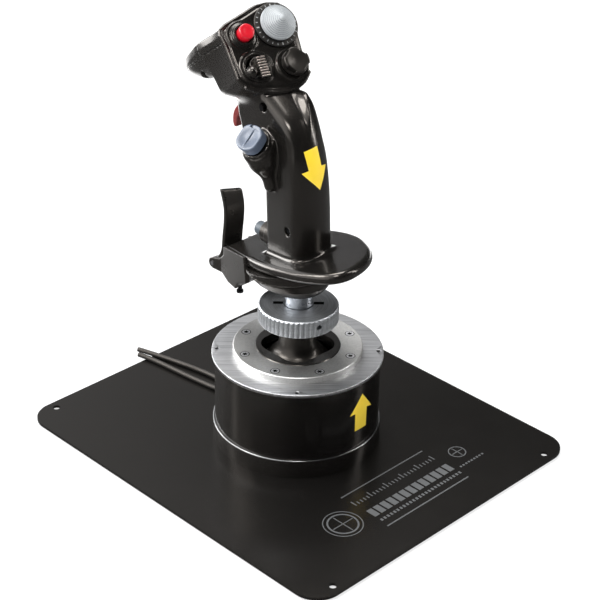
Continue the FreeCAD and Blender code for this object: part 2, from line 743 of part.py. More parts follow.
def build_nut():
    thread = d.boss_radius + d.running_gap
    plate_low = d.nut_top - d.nut_plate
    bevel = 1.2
    body = revolve("locking_nut", [
        (thread, d.nut_bottom),
        (d.nut_radius - bevel, d.nut_bottom),
        (d.nut_radius, d.nut_bottom + bevel),
        (d.nut_radius, d.nut_top - bevel),
        (d.nut_radius - bevel, d.nut_top),
        (d.neck_radius + 0.5, d.nut_top),
        (d.neck_radius + 0.5, plate_low),
        (thread, plate_low),
    ])
    flutes = new_sketch(body, "XY_Plane", d.nut_top)
    draw_circle(flutes, 0.75, d.nut_radius + 0.25, 0)
    flute = pocket(body, flutes, d.nut_top - d.nut_bottom)
    pattern = body.newObject("PartDesign::PolarPattern", "nut_flute_pattern")
    pattern.Originals = [flute]
    pattern.Axis = (flutes, ["N_Axis"])
    pattern.Angle = 360
    pattern.Occurrences = int(d.nut_flutes.value)
    body.Tip = pattern
    slots = new_sketch(body, "XY_Plane", d.nut_top)
    turn = math.radians(-44.5)
    along, aside = Vector(math.cos(turn), math.sin(turn), 0), Vector(-math.sin(turn), math.cos(turn), 0)
    for side in (1, -1):
        corners = []
        for reach, half in ((11.2, -1.3), (17.0, -1.3), (17.0, 1.3), (11.2, 1.3)):
            corner = along * (side * reach) + aside * half
            corners.append((corner.x, corner.y))
        draw_polygon(slots, corners)
    pocket(body, slots, d.nut_plate + 0.2)
    node("locking_nut", body)

    body = revolve("stick_connector", [
        (d.shaft_radius, d.neck_top),
        (d.boss_radius, d.neck_top),
        (d.boss_radius, d.boss_top),
        (7.0, d.boss_top),
        (7.0, d.shaft_top),
        (d.shaft_radius, d.shaft_top),
    ])
    node("stick_connector", body)

    body = revolve("grip_neck", [
        (d.neck_bore, d.boss_top + 0.05),
        (17.4, d.boss_top + 0.05),
        (17.4, d.nut_top - d.nut_plate - 0.1),
        (d.neck_radius, d.nut_top - d.nut_plate - 0.1),
        (d.neck_radius, 126.0),
        (d.neck_bore, 126.0),
    ])
    screw_hole = new_sketch(body, "XZ_Plane", d.neck_bore)
    draw_circle(screw_hole, 1.5, 0, d.neck_screw_height)
    pocket(body, screw_hole, 6.0, backwards=True)
    node("grip_neck", body)

    screw = cylinder("neck_screw_blank", 1.5, 3.0, 0, -d.neck_radius - 0.1, d.neck_screw_height, TURN_Y)
    socket = cylinder("neck_screw_socket", 0.7, 1.2, 0, -d.neck_radius - 0.2, d.neck_screw_height, TURN_Y)
    node("neck_screw", cut("neck_screw_cut", screw, socket))


# ---------------------------------------------------------------- hand rest

def rest_placement():
    turn = Rotation(Vector(1, 0, 0), d.rest_slope.value)
    return Placement(Vector(0, 0, d.rest_height.value), turn)


# Across and along the sloped top: around the back of the rest, then the tongue to the paddle.
REST_CURVE = [
    (-20.4, 31.0), (-23.6, 22.0), (-26.7, 8.0), (-28.6, -10.0), (-28.8, -26.0), (-26.4, -40.5),
    (-22.4, -50.0), (-16.0, -55.6), (-8.0, -57.0), (1.0, -55.8), (10.5, -52.8), (20.0, -47.2),
    (29.0, -38.8), (36.4, -28.4), (42.6, -17.0), (45.8, -6.0), (46.8, 4.0), (46.0, 15.0),
    (43.0, 27.5), (37.0, 40.0), (28.5, 53.0),
]
REST_TONGUE = [(28.5, 53.0), (21.0, 61.0), (-10.2, 61.0), (-20.4, 31.0)]


def rest_face():
    curve = Part.BSplineCurve()
    curve.interpolate([Vector(x, y, 0) for x, y in REST_CURVE])
    corners = [Vector(x, y, 0) for x, y in REST_TONGUE]
    edges = [curve.toShape()]
    edges += [Part.makeLine(corners[i], corners[i + 1]) for i in range(len(corners) - 1)]
    return Part.Face(Part.Wire(edges))


def half_space_above(placement, reach=200.0):
    """A big block whose lower face is the given plane."""
    block = Part.makeBox(2 * reach, 2 * reach, reach, Vector(-reach, -reach, 0))
    block.Placement = placement
    return block


def underside():
    """The plane under the hand rest."""
    top = rest_placement()
    return Placement(top.multVec(Vector(0, 0, -d.rest_thickness.value)), top.Rotation)


def cup_solid(inset, low):
    """The cup leans forward as it widens; inset gives its inner face."""
    edge = d.cup_edge.value
    rings = [
        (low, d.cup_low_radius.value, 0.0),
        (low + 0.8, d.cup_low_radius.value + 2.8, 0.4),
        (low + 6.5, d.cup_high_radius.value - 3.6, d.cup_shift.value * 0.6),
        (edge + inset * 0.4, d.cup_high_radius.value, d.cup_shift.value),
        (edge + 20.0, d.cup_high_radius.value, d.cup_shift.value),
    ]
    up = Vector(0, 0, 1)
    wires = [Part.Wire([Part.makeCircle(radius - inset, Vector(0, y, z), up)]) for z, radius, y in rings]
    return Part.makeLoft(wires, True, True).cut(half_space_above(underside()))


def build_rest():
    thickness = d.rest_thickness.value
    disc = rest_face().extrude(Vector(0, 0, -thickness))
    rim = [edge for edge in disc.Edges if edge.BoundBox.ZLength < 1e-3 and edge.BoundBox.YMin < 20]
    disc = disc.makeFillet(d.rest_rounding.value, [edge for edge in rim if edge.BoundBox.YLength > 60])
    disc.Placement = rest_placement()
    wire_room = Part.makeCylinder(13.5, 60, Vector(0, 3, 110))
    node("hand_rest", shaped("hand_rest", disc.cut(wire_room)))

    low, wall = d.cup_bottom.value, d.cup_wall.value
    neck_hole = Part.makeCylinder(d.neck_radius.value, 60, Vector(0, 0, 100))
    cup = cup_solid(0.0, low).cut(cup_solid(wall, low + wall)).cut(neck_hole)
    node("rest_cup", shaped("rest_cup", cup))


STOP_SCREW = Vector(-13.0, 44.0, 101.6)


def build_paddle():
    """Bracket under the tongue of the rest, and the lever that hinges on it."""
    y, z = d.hinge_along.value, d.hinge_height.value
    inner, outer = d.wall_inner.value, d.wall_outer.value
    side = [
        (22, 145), (60.0, 145), (60.5, 124), (66, 118.5), (73, 117), (77, 114), (76.4, 110),
        (73, 108.4), (62, 108.6), (54, 106), (43, 106.4), (39, 112.6), (22, 121),
    ]
    reach = 26.0
    outline = [Vector(-reach, a, b) for a, b in side]
    outline.append(outline[0])
    block = Part.Face(Part.makePolygon(outline)).extrude(Vector(reach + outer, 0, 0))
    seen_from_above = [(-outer, 80), (-outer, 64), (-23.5, 27), (-23.5, 20), (outer, 20), (outer, 80)]
    plan = [Vector(x, a, 90) for x, a in seen_from_above]
    plan.append(plan[0])
    block = block.common(Part.Face(Part.makePolygon(plan)).extrude(Vector(0, 0, 60)))
    channel = Part.makeBox(2 * inner, 60, 60, Vector(-inner, 47, 95))
    pin_hole = Part.makeCylinder(d.hinge_pin_radius.value, 60, Vector(-30, y, z), Vector(1, 0, 0))
    screw_hole = Part.makeCylinder(1.5, 20, Vector(STOP_SCREW.x, STOP_SCREW.y, STOP_SCREW.z - 1.0))
    rest_room = rest_face().extrude(Vector(0, 0, -d.rest_thickness.value))
    rest_room.Placement = rest_placement()
    cup_room = cup_solid(0.0, d.cup_bottom.value)
    bracket = block.cut(half_space_above(rest_placement())).cut(rest_room).cut(cup_room)
    bracket = bracket.cut(channel).cut(pin_hole).cut(screw_hole)
    node("paddle_bracket", shaped("paddle_bracket", largest(bracket)))

    half, thick = d.paddle_half.value, d.paddle_thickness.value
    spine = [
        Vector(0, y, z), Vector(0, 69.0, 118.0), Vector(0, 66.5, 124.0), Vector(0, 65.5, 134.0),
        Vector(0, 64.0, 147.0), Vector(0, 64.3, 158.0), Vector(0, 68.2, 170.7),
    ]
    curve = Part.BSplineCurve()
    curve.interpolate(spine)
    front, back = [], []
    for i in range(25):
        at = curve.FirstParameter + (curve.LastParameter - curve.FirstParameter) * i / 24
        place, ahead = curve.value(at), curve.tangent(at)[0]
        aside = Vector(0, ahead.z, -ahead.y) * (thick / 2)
        front.append(place + aside)
        back.append(place - aside)
    front_curve, back_curve = Part.BSplineCurve(), Part.BSplineCurve()
    front_curve.interpolate(front)
    back_curve.interpolate(back)
    edges = [front_curve.toShape(), Part.makeLine(front[-1], back[-1]), back_curve.toShape(),
             Part.makeLine(back[0], front[0])]
    blade = Part.Face(Part.Wire(edges)).extrude(Vector(2 * half, 0, 0))
    blade.translate(Vector(-half, 0, 0))
    barrel = Part.makeCylinder(d.hinge_radius.value, 2 * half, Vector(-half, y, z), Vector(1, 0, 0))
    bore = Part.makeCylinder(d.hinge_pin_radius.value + d.running_gap.value, 60, Vector(-30, y, z),
                             Vector(1, 0, 0))
    lever = blade.fuse(barrel).cut(bore).removeSplitter()
    tip = max(point.z for point in spine)
    slant = math.degrees(math.atan2(d.paddle_drop.value, 2 * half))
    waste = half_space_above(Placement(Vector(-half, 0, tip - 0.8), Rotation(Vector(0, 1, 0), slant)))
    node("paddle_lever", shaped("paddle_lever", lever.cut(waste)))

    pin = cylinder("paddle_pin", d.hinge_pin_radius, 2 * d.wall_outer + 0.6, -d.wall_outer - 0.3,
                   d.hinge_along, d.hinge_height, TURN_X)
    node("paddle_pin", pin)
    screw = Part.makeCylinder(1.5, 14, STOP_SCREW + Vector(0, 0, 1.5)).fuse(
        Part.makeCylinder(2.4, 1.6, STOP_SCREW))
    node("paddle_stop_screw", shaped("paddle_stop_screw", screw.cut(nodes["paddle_bracket"].Shape)))


def largest(shape):
    return max(shape.Solids, key=lambda solid: solid.Volume)


# ---------------------------------------------------------------- grip

# Height, lean forward, and how far the front bulges out over the trigger.
CENTRE_LINE = [
    (126, 0.0, 0.0), (149, 0.5, 0.0), (166, 1.3, 0.0), (184, 2.0, 0.6), (197, 3.1, 3.5), (209, 5.2, 10.0),
    (220, 7.7, 16.5), (231, 10.5, 16.5), (247, 17.0, 13.0), (260, 23.0, 10.0),
]


def grip_section(height, forward, bulge, inset=0.0):
    """Front flat, two flat flanks to the creases and a rounded back."""
    flat, front = d.grip_flat_half.value - inset * 0.6, d.grip_front.value + bulge - inset
    half, crease, back = d.grip_half.value - inset, d.grip_crease.value, d.grip_back.value + inset
    nip = 2.2

    def at(x, y):
        return Vector(x, y + forward, height)

    lean_x = (half - flat) / math.hypot(half - flat, front - crease)
    lean_y = (front - crease) / math.hypot(half - flat, front - crease)
    points = {
        "front_left": at(-flat + nip, front),
        "front_right": at(flat - nip, front),
        "flank_right": at(flat + nip * lean_x, front - nip * lean_y),
        "crease_right": at(half, crease),
        "back": at(0, back),
        "crease_left": at(-half, crease),
        "flank_left": at(-flat - nip * lean_x, front - nip * lean_y),
    }
    slant = 0.70710678
    depth = crease - back
    quarter_right = at(half * slant * 1.09, crease - depth * slant * 0.96)
    quarter_left = at(-half * slant * 1.09, crease - depth * slant * 0.96)
    corner_right = at(flat - nip * 0.18, front - nip * 0.28)
    corner_left = at(-flat + nip * 0.18, front - nip * 0.28)
    back_curve = Part.BSplineCurve()
    back_curve.interpolate([points["crease_right"], quarter_right, points["back"], quarter_left,
                            points["crease_left"]])
    return Part.Wire([
        Part.makeLine(points["front_left"], points["front_right"]),
        Part.Arc(points["front_right"], corner_right, points["flank_right"]).toShape(),
        Part.makeLine(points["flank_right"], points["crease_right"]),
        back_curve.toShape(),
        Part.makeLine(points["crease_left"], points["flank_left"]),
        Part.Arc(points["flank_left"], corner_left, points["front_left"]).toShape(),
    ])


def grip_solid(inset=0.0):
    sections = [grip_section(*row, inset) for row in CENTRE_LINE]
    return Part.makeLoft(sections, True, False)


def head_placement():
    turn = Rotation(Vector(0, 0, 1), d.head_yaw.value).multiply(Rotation(Vector(1, 0, 0), d.head_tilt.value))
    return Placement(Vector(d.head_x.value, d.head_y.value, d.head_z.value), turn)


HEAD_OUTLINE = [
    (-0.8, -0.5), (0.7, -2.6), (11.8, -7.6), (23.7, -10.3), (35.5, -10.1), (43.5, -7.5), (51.5, 0.5),
    (50.0, 14.0), (52.0, 25.0), (53.6, 33.5), (51.5, 43.0), (46.0, 49.0), (38.0, 51.3), (25.7, 49.2),
    (11.8, 44.6), (-0.2, 40.4), (-1.2, 38.0),
]
HEAD_CENTRE = (25.0, 20.0)


def head_polygon(depth, scale=1.0):
    """The face outline at a depth behind the face, in the head's own frame."""
    cx, cy = HEAD_CENTRE
    corners = [Vector(cx + (x - cx) * scale, cy + (y - cy) * scale, -depth) for x, y in HEAD_OUTLINE]
    corners.append(corners[0])
    return Part.Face(Part.makePolygon(corners))


def head_profile(inset=0.0):
    """Side view of the head: depth behind the face against height on it."""
    nose = d.nose_depth.value
    profile = [
        (-1, -12), (22, -12 + inset), (25, 0.5 + inset), (44 - inset, 17 + inset),
        (58 - inset, 22.5 + inset), (nose - 3 - inset, 28.5), (nose - inset, 35.5),
        (nose - 1 - inset, 43.0), (nose - 7 - inset, 49), (50, 53), (-1, 53),
    ]
    corners = [Vector(-5, height, -depth) for depth, height in profile]
    corners.append(corners[0])
    return Part.Face(Part.makePolygon(corners)).extrude(Vector(65, 0, 0))


def head_plan():
    """Plan view of the head: the nose narrows to a rounded end."""
    nose = d.nose_depth.value
    plan = [(-3, 1), (-3, -38), (-1, -46), (2.5, -54), (8, -61.5), (15, -67), (21, -nose), (31, -nose),
            (37, -67), (44, -61.5), (49.5, -54), (53, -46), (56, -38), (56, 1)]
    corners = [Vector(x, -15, z) for x, z in plan]
    corners.append(corners[0])
    return Part.Face(Part.makePolygon(corners)).extrude(Vector(0, 70, 0))


def head_solid(scale=1.0, start=0.0, inset=0.0):
    block = head_polygon(start, scale).extrude(Vector(0, 0, -(d.nose_depth.value - start)))
    return block.common(head_profile(inset)).common(head_plan())


FACE_CONTROLS = {
    "trim_hat": (37.5, 33.5),
    "release_button": (12.0, 30.0),
    "display_hat": (14.5, 7.5),
    "target_hat": (40.0, 5.5),
}
# Radius of the well in the face under each control.
WELLS = {"trim_hat": 8.5, "release_button": 5.2, "display_hat": 7.0, "target_hat": 7.0}


def tube(outer, inner, low, high, x=0, y=0):
    solid = Part.makeCylinder(outer, high - low, Vector(x, y, low))
    if inner:
        solid = solid.cut(Part.makeCylinder(inner, high - low, Vector(x, y, low)))
    return solid


def build_head():
    placement = head_placement()
    nose_start = d.head_depth.value
    wall = d.head_wall.value
    outer = head_solid()
    cavity = head_solid(0.88, wall + 2.0, 3.2).common(
        Part.makeBox(80, 90, 60, Vector(-10, -20, -nose_start - 6.0)))
    panel_scale = 0.86
    recess = head_polygon(0.0, panel_scale).extrude(Vector(0, 0, -d.panel_thickness.value))
    shell = outer.cut(cavity).cut(recess)
    wells = []
    for name, radius in WELLS.items():
        wells.append(Part.makeCylinder(radius, 12, Vector(*FACE_CONTROLS[name], -11)))
    shell = shell.cut(wells)
    front = Part.makeBox(80, 90, nose_start + 1, Vector(-10, -20, -nose_start))
    head_part = largest(shell.common(front))
    nose_part = largest(shell.cut(front))

    panel_gap = 0.05
    panel = head_polygon(0.0, panel_scale - 0.004)
    panel = panel.extrude(Vector(0, 0, panel_gap - d.panel_thickness.value)).cut(wells)
    node("face_panel", shaped("face_panel", panel, placement))
    return head_part, nose_part, outer


def place(shape, placement):
    moved = shape.copy()
    moved.Placement = placement
    return moved


def build_grip_and_head():
    placement = head_placement()
    head_part, nose_part, head_outer = build_head()
    outer_here = place(head_outer, placement)

    outer = grip_solid()
    inner = grip_solid(d.grip_wall.value)
    slope = Rotation(Vector(1, 0, 0), d.shoulder_slope.value)
    shoulder = Placement(Vector(0, 0, d.shoulder_height.value), slope)
    shoulder_in = Placement(Vector(0, 0, d.shoulder_height.value - d.grip_wall.value), slope)
    outer = outer.cut(half_space_above(shoulder))
    inner = inner.cut(half_space_above(shoulder_in))
    rest_top = rest_placement()
    below = Part.makeBox(300, 300, 100, Vector(-150, -150, -100))
    below.Placement = rest_top
    shell = outer.cut(below).cut(inner)
    shell = shell.cut(outer_here)

    pod, pod_here = build_side_pod(outer)
    shell = shell.cut(pod_here)

    button_z = d.button_height.value
    ahead = Vector(0, 1, 0)
    shell = shell.cut(Part.makeCylinder(6.0, 30, Vector(0, 14.0, button_z), ahead))
    shell = shell.cut(Part.makeCylinder(d.collar_radius.value, 30, Vector(0, 21.6, button_z), ahead))
    trigger_slot = Part.makeBox(10.4, 30, 16, Vector(-5.2, 30, 227))
    shell = shell.cut(trigger_slot)
    shell = shell.cut(trigger_pin_solid())
    screws = []
    for y, z in ((-4.0, 166.8), (22.5, 245.0)):
        hole = Part.makeCylinder(2.0, 60, Vector(-30, y, z), Vector(1, 0, 0))
        mouth = Part.makeCylinder(3.1, 30, Vector(-44.5, y, z), Vector(1, 0, 0))
        shell = shell.cut(hole).cut(mouth)
        shank = Part.makeCylinder(1.98, 29.0, Vector(-14.4, y, z), Vector(1, 0, 0))
        screws.append(shank)
    left = largest(shell.common(Part.makeBox(100, 200, 300, Vector(-100, -100, 100))))
    right = largest(shell.common(Part.makeBox(100, 200, 300, Vector(0, -100, 100))))
    node("grip_left_shell", shaped("grip_left_shell", left))
    node("grip_right_shell", shaped("grip_right_shell", right))
    node("grip_screws", shaped("grip_screws", Part.makeCompound(screws)))

    head_here = place(head_part, placement)
    trigger_room = Part.makeBox(10.8, 16, 20, Vector(-5.4, 40, 222))
    node("head_shell", shaped("head_shell", largest(head_here.cut(trigger_room))))
    node("nose_cap", shaped("nose_cap", nose_part, placement))
    node("side_pod", shaped("side_pod", largest(pod)))
    return outer


SIDE_AXIS = Vector(-0.70, -0.10, 0.70)
SIDE_CENTRE = Vector(-27.0, 18.2, 228.2)


def side_placement():
    axis = Vector(SIDE_AXIS).normalize()
    return Placement(SIDE_CENTRE, Rotation(Vector(0, 0, 1), axis))


def build_side_pod(grip_outer):
    """Teardrop housing on the left flank under the side hat."""
    axis = Vector(SIDE_AXIS).normalize()
    mouth = SIDE_CENTRE - axis * 5.5
    bend = Vector(-0.55, 0, 0.8)
    rings = [
        Part.Wire([Part.makeCircle(10.5, mouth, axis)]),
        Part.Wire([Part.makeCircle(11.0, mouth - axis * 5.0 + Vector(0.5, -0.5, -2.0), bend)]),
        Part.Wire([Part.makeCircle(8.0, Vector(-15.5, 14.5, 205.0), Vector(-0.25, 0, 1.0))]),
        Part.Wire([Part.makeCircle(3.0, Vector(-14.2, 11.5, 193.0), Vector(-0.1, 0, 1.0))]),
    ]
    tear = Part.makeLoft(rings, True, False)
    pod = tear.cut(grip_outer)
    hollow = Part.makeCylinder(5.6, 16.0, SIDE_CENTRE - axis * 15.0, axis)
    return pod.cut(hollow), hollow


# ---------------------------------------------------------------- controls

HAT_PIN = 0.7
HAT_PIN_ALONG = Vector(1, 0, 0)
ROCKER_PIN_ALONG = Vector(0, 1, 0)


def cross_pin(radius, reach, depth, along):
    return Part.makeCylinder(radius, 2 * reach, Vector(0, 0, -depth) - along * reach, along)


def rocker(name, placement, depth):
    """Small gimbal ring under a hat: it holds the hat's pin and turns on its own, square to it."""
    trunnions = cross_pin(HAT_PIN, 5.4, depth, ROCKER_PIN_ALONG)
    ring = tube(4.6, 3.2, -depth - 1.4, -depth + 1.4).fuse(trunnions)
    ring = ring.cut(Part.makeCylinder(3.2, 4.0, Vector(0, 0, -depth - 2.0)))
    ring = ring.cut(cross_pin(HAT_PIN + 0.05, 5.4, depth, HAT_PIN_ALONG)).removeSplitter()
    node(name, shaped(name, ring, placement))


def turned(corners):
    """A solid of revolution from (radius, height) corners that start and end on the axis."""
    outline = [Vector(radius, 0, height) for radius, height in corners]
    outline.append(outline[0])
    return Part.Face(Part.makePolygon(outline)).revolve(Vector(0, 0, 0), Vector(0, 0, 1), 360)


def hat(name, placement, cap, low, depth):
    """A hat switch: its cap on a stem with a cross pin at the tilt centre."""
    stem = Part.makeCylinder(2.6, low + depth + 1.4 + 0.5, Vector(0, 0, -depth - 1.4))
    pin = cross_pin(HAT_PIN, 4.4, depth, HAT_PIN_ALONG)
    node(name, shaped(name, cap.fuse([stem, pin]).removeSplitter(), placement))


def ridged_cone(radius, tip_radius, low, high, steps):
    """Short skirt, then concentric steps up to a small tip."""
    skirt = 1.5
    corners = [(0, low), (radius, low)]
    for i in range(steps + 1):
        part = i / steps
        reach = radius + (tip_radius - radius) * part
        corners.append((reach, low + skirt + (high - low - skirt) * part))
        if i < steps:
            corners.append((reach + (tip_radius - radius) / steps, corners[-1][1]))
    corners.append((0, high))
    return turned(corners)


def notched_disc(radius, low, high, notch_width, notch_depth):
    """Round cap with four broad notches in its rim."""
    cap = turned([(0, low), (radius, low), (radius, high - 1.0), (radius - 1.0, high), (0, high)])
    corner = Vector(-notch_width / 2, radius - notch_depth, low + 2.0)
    notch = Part.makeBox(notch_width, 4.0, high - low, corner)
    for angle in (45, 135, 225, 315):
        cap = cap.cut(notch.rotated(Vector(0, 0, 0), Vector(0, 0, 1), angle))
    return cap


def build_controls():
    head = head_placement()

    def on_face(name):
        x, y = FACE_CONTROLS[name]
        return Placement(head.multVec(Vector(x, y, 0)), head.Rotation)

    depth = d.hat_depth.value
    hat("trim_hat", on_face("trim_hat"), ridged_cone(12.0, 1.6, 3.4, 13.4, 8), 3.4, depth)
    hat("target_hat", on_face("target_hat"), notched_disc(8.6, 2.4, 8.4, 7.0, 1.3), 2.4, depth)
    dish = turned([(0, 2.0), (6.1, 2.0), (6.1, 4.4), (0, 4.4)])
    ball = Part.makeSphere(4.5, Vector(-4.2, 0, 4.2))
    ball = ball.common(Part.makeBox(20, 20, 20, Vector(-10, -10, 3.6)))
    bar = Part.makeBox(5.6, 14.0, 4.0, Vector(0.4, -7.0, 4.0))
    hat("display_hat", on_face("display_hat"), dish.fuse([ball, bar]), 2.0, depth)
    for name in ("trim", "display", "target"):
        rocker(f"{name}_rocker", on_face(f"{name}_hat"), depth)
    face_gap = 0.05
    node("trim_ring", shaped("trim_ring", tube(15.2, 8.7, face_gap, 1.2), on_face("trim_hat")))
    node("display_collar", shaped("display_collar", tube(9.8, 8.1, face_gap, 1.9), on_face("display_hat")))

    place_button = on_face("release_button")
    collar = tube(9.0, 5.8, face_gap, 1.6).fuse([tube(8.0, 5.8, 1.6, 2.8), tube(7.0, 5.8, 2.8, 4.0)])
    node("release_collar", shaped("release_collar", collar.removeSplitter(), place_button))
    cap = Part.makeCylinder(5.6, 8.0, Vector(0, 0, 2.0))
    cap = cap.makeFillet(2.0, [edge for edge in cap.Edges if edge.BoundBox.ZMin > 9.9])
    stem = Part.makeCylinder(4.0, 9.0, Vector(0, 0, -7.0))
    node("release_button", shaped("release_button", cap.fuse(stem).removeSplitter(), place_button))

    side = side_placement()
    side_depth = d.side_hat_depth.value
    hat("side_hat", side, notched_disc(9.2, -3.9, 4.2, 7.0, 1.3), -3.9, side_depth)
    rocker("side_rocker", side, side_depth)

    z = d.button_height.value
    collar = Part.makeCylinder(d.collar_radius.value, 10.3, Vector(0, 21.6, z), Vector(0, 1, 0))
    collar = collar.cut(Part.makeCylinder(5.2, 40, Vector(0, 10, z), Vector(0, 1, 0)))
    node("steering_collar", shaped("steering_collar", collar))
    start = Vector(0, 20.5, z)
    button = Part.makeCylinder(d.button_radius.value, d.button_end.value - 20.5, start, Vector(0, 1, 0))
    edges = [edge for edge in button.Edges if edge.BoundBox.YMin > d.button_end.value - 0.1]
    node("steering_button", shaped("steering_button", button.makeFillet(1.2, edges)))


def trigger_pin_solid():
    start = Vector(-7.5, d.trigger_along.value, d.trigger_height.value)
    return Part.makeCylinder(1.5, 15.0, start, Vector(1, 0, 0))


def build_trigger():
    """Curved trigger under the head, on a cross pin inside the grip."""
    y, z = d.trigger_along.value, d.trigger_height.value
    side = [(44.5, 238.5), (49.0, 238.5), (55.0, 235.0), (59.5, 229.0), (61.3, 221.5), (59.6, 216.5),
            (56.8, 217.0), (56.5, 222.0), (54.0, 228.0), (49.5, 232.5), (44.5, 233.5)]
    outline = [Vector(-4.6, a, b) for a, b in side]
    outline.append(outline[0])
    lever = Part.Face(Part.makePolygon(outline)).extrude(Vector(9.2, 0, 0))
    lever = lever.cut(Part.makeCylinder(1.55, 40, Vector(-20, y, z), Vector(1, 0, 0)))
    node("trigger", shaped("trigger", lever))
    node("trigger_pin", shaped("trigger_pin", trigger_pin_solid()))


# ---------------------------------------------------------------- assembly

build_plate()
build_base()
build_gate()
build_gimbal()
build_stick_core()
build_cables()
build_dome()
build_nut()
document.recompute()
build_rest()
build_paddle()
build_grip_and_head()
build_controls()
build_trigger()
document.recompute()

for thing in document.Objects:
    problems = [word for word in thing.State if word in ("Invalid", "Error")]
    if problems:
        raise RuntimeError(f"{thing.Name}: {problems}")
for name, thing in nodes.items():
    if thing.Shape.isNull() or not thing.Shape.isValid() or not thing.Shape.Solids:
        raise RuntimeError(f"{name} has no valid solid")

os.makedirs("parts", exist_ok=True)
for name, thing in nodes.items():
    thing.Shape.exportStep(f"parts/{name}.step")
print(len(nodes), "nodes")
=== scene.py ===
import json
import math
from functools import reduce

import bmesh
import bpy
import numpy as np
from mathutils import Matrix, Vector


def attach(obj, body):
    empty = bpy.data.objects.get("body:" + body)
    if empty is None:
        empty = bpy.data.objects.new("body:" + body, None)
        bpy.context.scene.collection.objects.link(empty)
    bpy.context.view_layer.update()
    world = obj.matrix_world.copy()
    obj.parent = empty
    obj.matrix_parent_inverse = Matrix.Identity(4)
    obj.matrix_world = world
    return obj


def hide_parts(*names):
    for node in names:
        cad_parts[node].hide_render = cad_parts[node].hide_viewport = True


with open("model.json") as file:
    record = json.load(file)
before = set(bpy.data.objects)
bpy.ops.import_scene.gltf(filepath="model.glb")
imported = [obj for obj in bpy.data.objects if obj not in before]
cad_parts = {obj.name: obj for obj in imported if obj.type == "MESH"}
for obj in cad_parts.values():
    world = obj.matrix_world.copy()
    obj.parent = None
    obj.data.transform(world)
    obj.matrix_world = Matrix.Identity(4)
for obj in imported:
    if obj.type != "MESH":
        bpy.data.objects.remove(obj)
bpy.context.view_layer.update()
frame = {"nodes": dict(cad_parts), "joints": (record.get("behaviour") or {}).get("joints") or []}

MM = 0.001
JOINTS = {joint["name"]: joint for joint in frame["joints"]}


# ---- places taken from the frame

def plane_turn(x_axis, y_axis, origin):
    """Matrix of a local frame in mm, from two axes and an origin in mm."""
    x_axis, y_axis = Vector(x_axis).normalized(), Vector(y_axis).normalized()
    z_axis = x_axis.cross(y_axis).normalized()
    y_axis = z_axis.cross(x_axis)
    turn = Matrix((x_axis, y_axis, z_axis)).transposed().to_4x4()
    return Matrix.Translation(origin) @ turn


def hat_place(side, up, depth):
    """Local frame of a hat switch: its two tilt axes, raised by depth to the mounting face."""
    origin = Vector(JOINTS[side]["pos_m"]) / MM
    place = plane_turn(JOINTS[up]["axis"], JOINTS[side]["axis"], origin)
    return place @ Matrix.Translation((0, 0, depth))


FACE_GAP = 8.0
TRIM = hat_place("trim_side_tilt", "trim_up_tilt", FACE_GAP)
DISPLAY = hat_place("display_side_tilt", "display_up_tilt", FACE_GAP)
TARGET = hat_place("target_side_tilt", "target_up_tilt", FACE_GAP)
SIDE = hat_place("side_up_tilt", "side_fore_tilt", 12.0)
TRIM_SPOT, RELEASE_SPOT = (37.5, 33.5), (12.0, 30.0)
HEAD = TRIM @ Matrix.Translation((-TRIM_SPOT[0], -TRIM_SPOT[1], 0))
RELEASE = HEAD @ Matrix.Translation((RELEASE_SPOT[0], RELEASE_SPOT[1], 0))
REST_TILT = math.radians(-13.0)
REST = Matrix.Translation((0, 0, 144.0)) @ Matrix.Rotation(REST_TILT, 4, "X")
WORLD = Matrix.Identity(4)


# ---- distance fields (mm)

def local(points, place):
    """Points moved into a local frame."""
    back = np.array(place.inverted(), float)
    return points @ back[:3, :3].T + back[:3, 3]


def carried(points, place):
    """Points moved out of a local frame."""
    forward = np.array(place, float)
    return points @ forward[:3, :3].T + forward[:3, 3]


def turned(x, y, degrees):
    """Coordinates along and across a direction in the plane."""
    turn = math.radians(degrees)
    return x * math.cos(turn) + y * math.sin(turn), y * math.cos(turn) - x * math.sin(turn)


def blend_min(a, b, k):
    share = np.clip(0.5 + 0.5 * (b - a) / k, 0.0, 1.0)
    return b * (1 - share) + a * share - k * share * (1 - share)


def blend_max(a, b, k):
    return -blend_min(-a, -b, k)


def most(*parts):
    """Largest of several fields: what they have in common."""
    return reduce(np.maximum, parts)


def smooth_step(x):
    x = np.clip(x, 0.0, 1.0)
    return x * x * (3 - 2 * x)


def polygon(x, y, corners):
    """Signed distance to a closed polygon, negative inside."""
    best = np.full(x.shape, 1e9)
    inside = np.zeros(x.shape, bool)
    ax, ay = corners[-1]
    for bx, by in corners:
        ex, ey = bx - ax, by - ay
        wx, wy = x - ax, y - ay
        t = np.clip((wx * ex + wy * ey) / (ex * ex + ey * ey), 0.0, 1.0)
        best = np.minimum(best, (wx - ex * t) ** 2 + (wy - ey * t) ** 2)
        crossing = ((ay > y) != (by > y)) & (x < ex * (y - ay) / (ey if ey else 1e-9) + ax)
        inside ^= crossing
        ax, ay = bx, by
    return np.sqrt(best) * np.where(inside, -1.0, 1.0)


def slab(flat, along, low, high, rounding):
    """Extrude a flat distance between two levels with a rounded edge."""
    a = flat + rounding
    b = np.abs(along - (low + high) / 2) - (high - low) / 2 + rounding
    outside = np.hypot(np.maximum(a, 0), np.maximum(b, 0))
    return outside + np.minimum(np.maximum(a, b), 0) - rounding


def disc(points, radius, low, high, rounding=0.5):
    return slab(np.hypot(points[:, 0], points[:, 1]) - radius, points[:, 2], low, high, rounding)


def ball(points, centre, radius):
    return np.linalg.norm(points - np.array(centre), axis=1) - radius


def capsule(points, start, end, radius):
    start, end = np.array(start, float), np.array(end, float)
    along = end - start
    t = np.clip((points - start) @ along / (along @ along), 0, 1)
    return np.linalg.norm(points - start - t[:, None] * along, axis=1) - radius


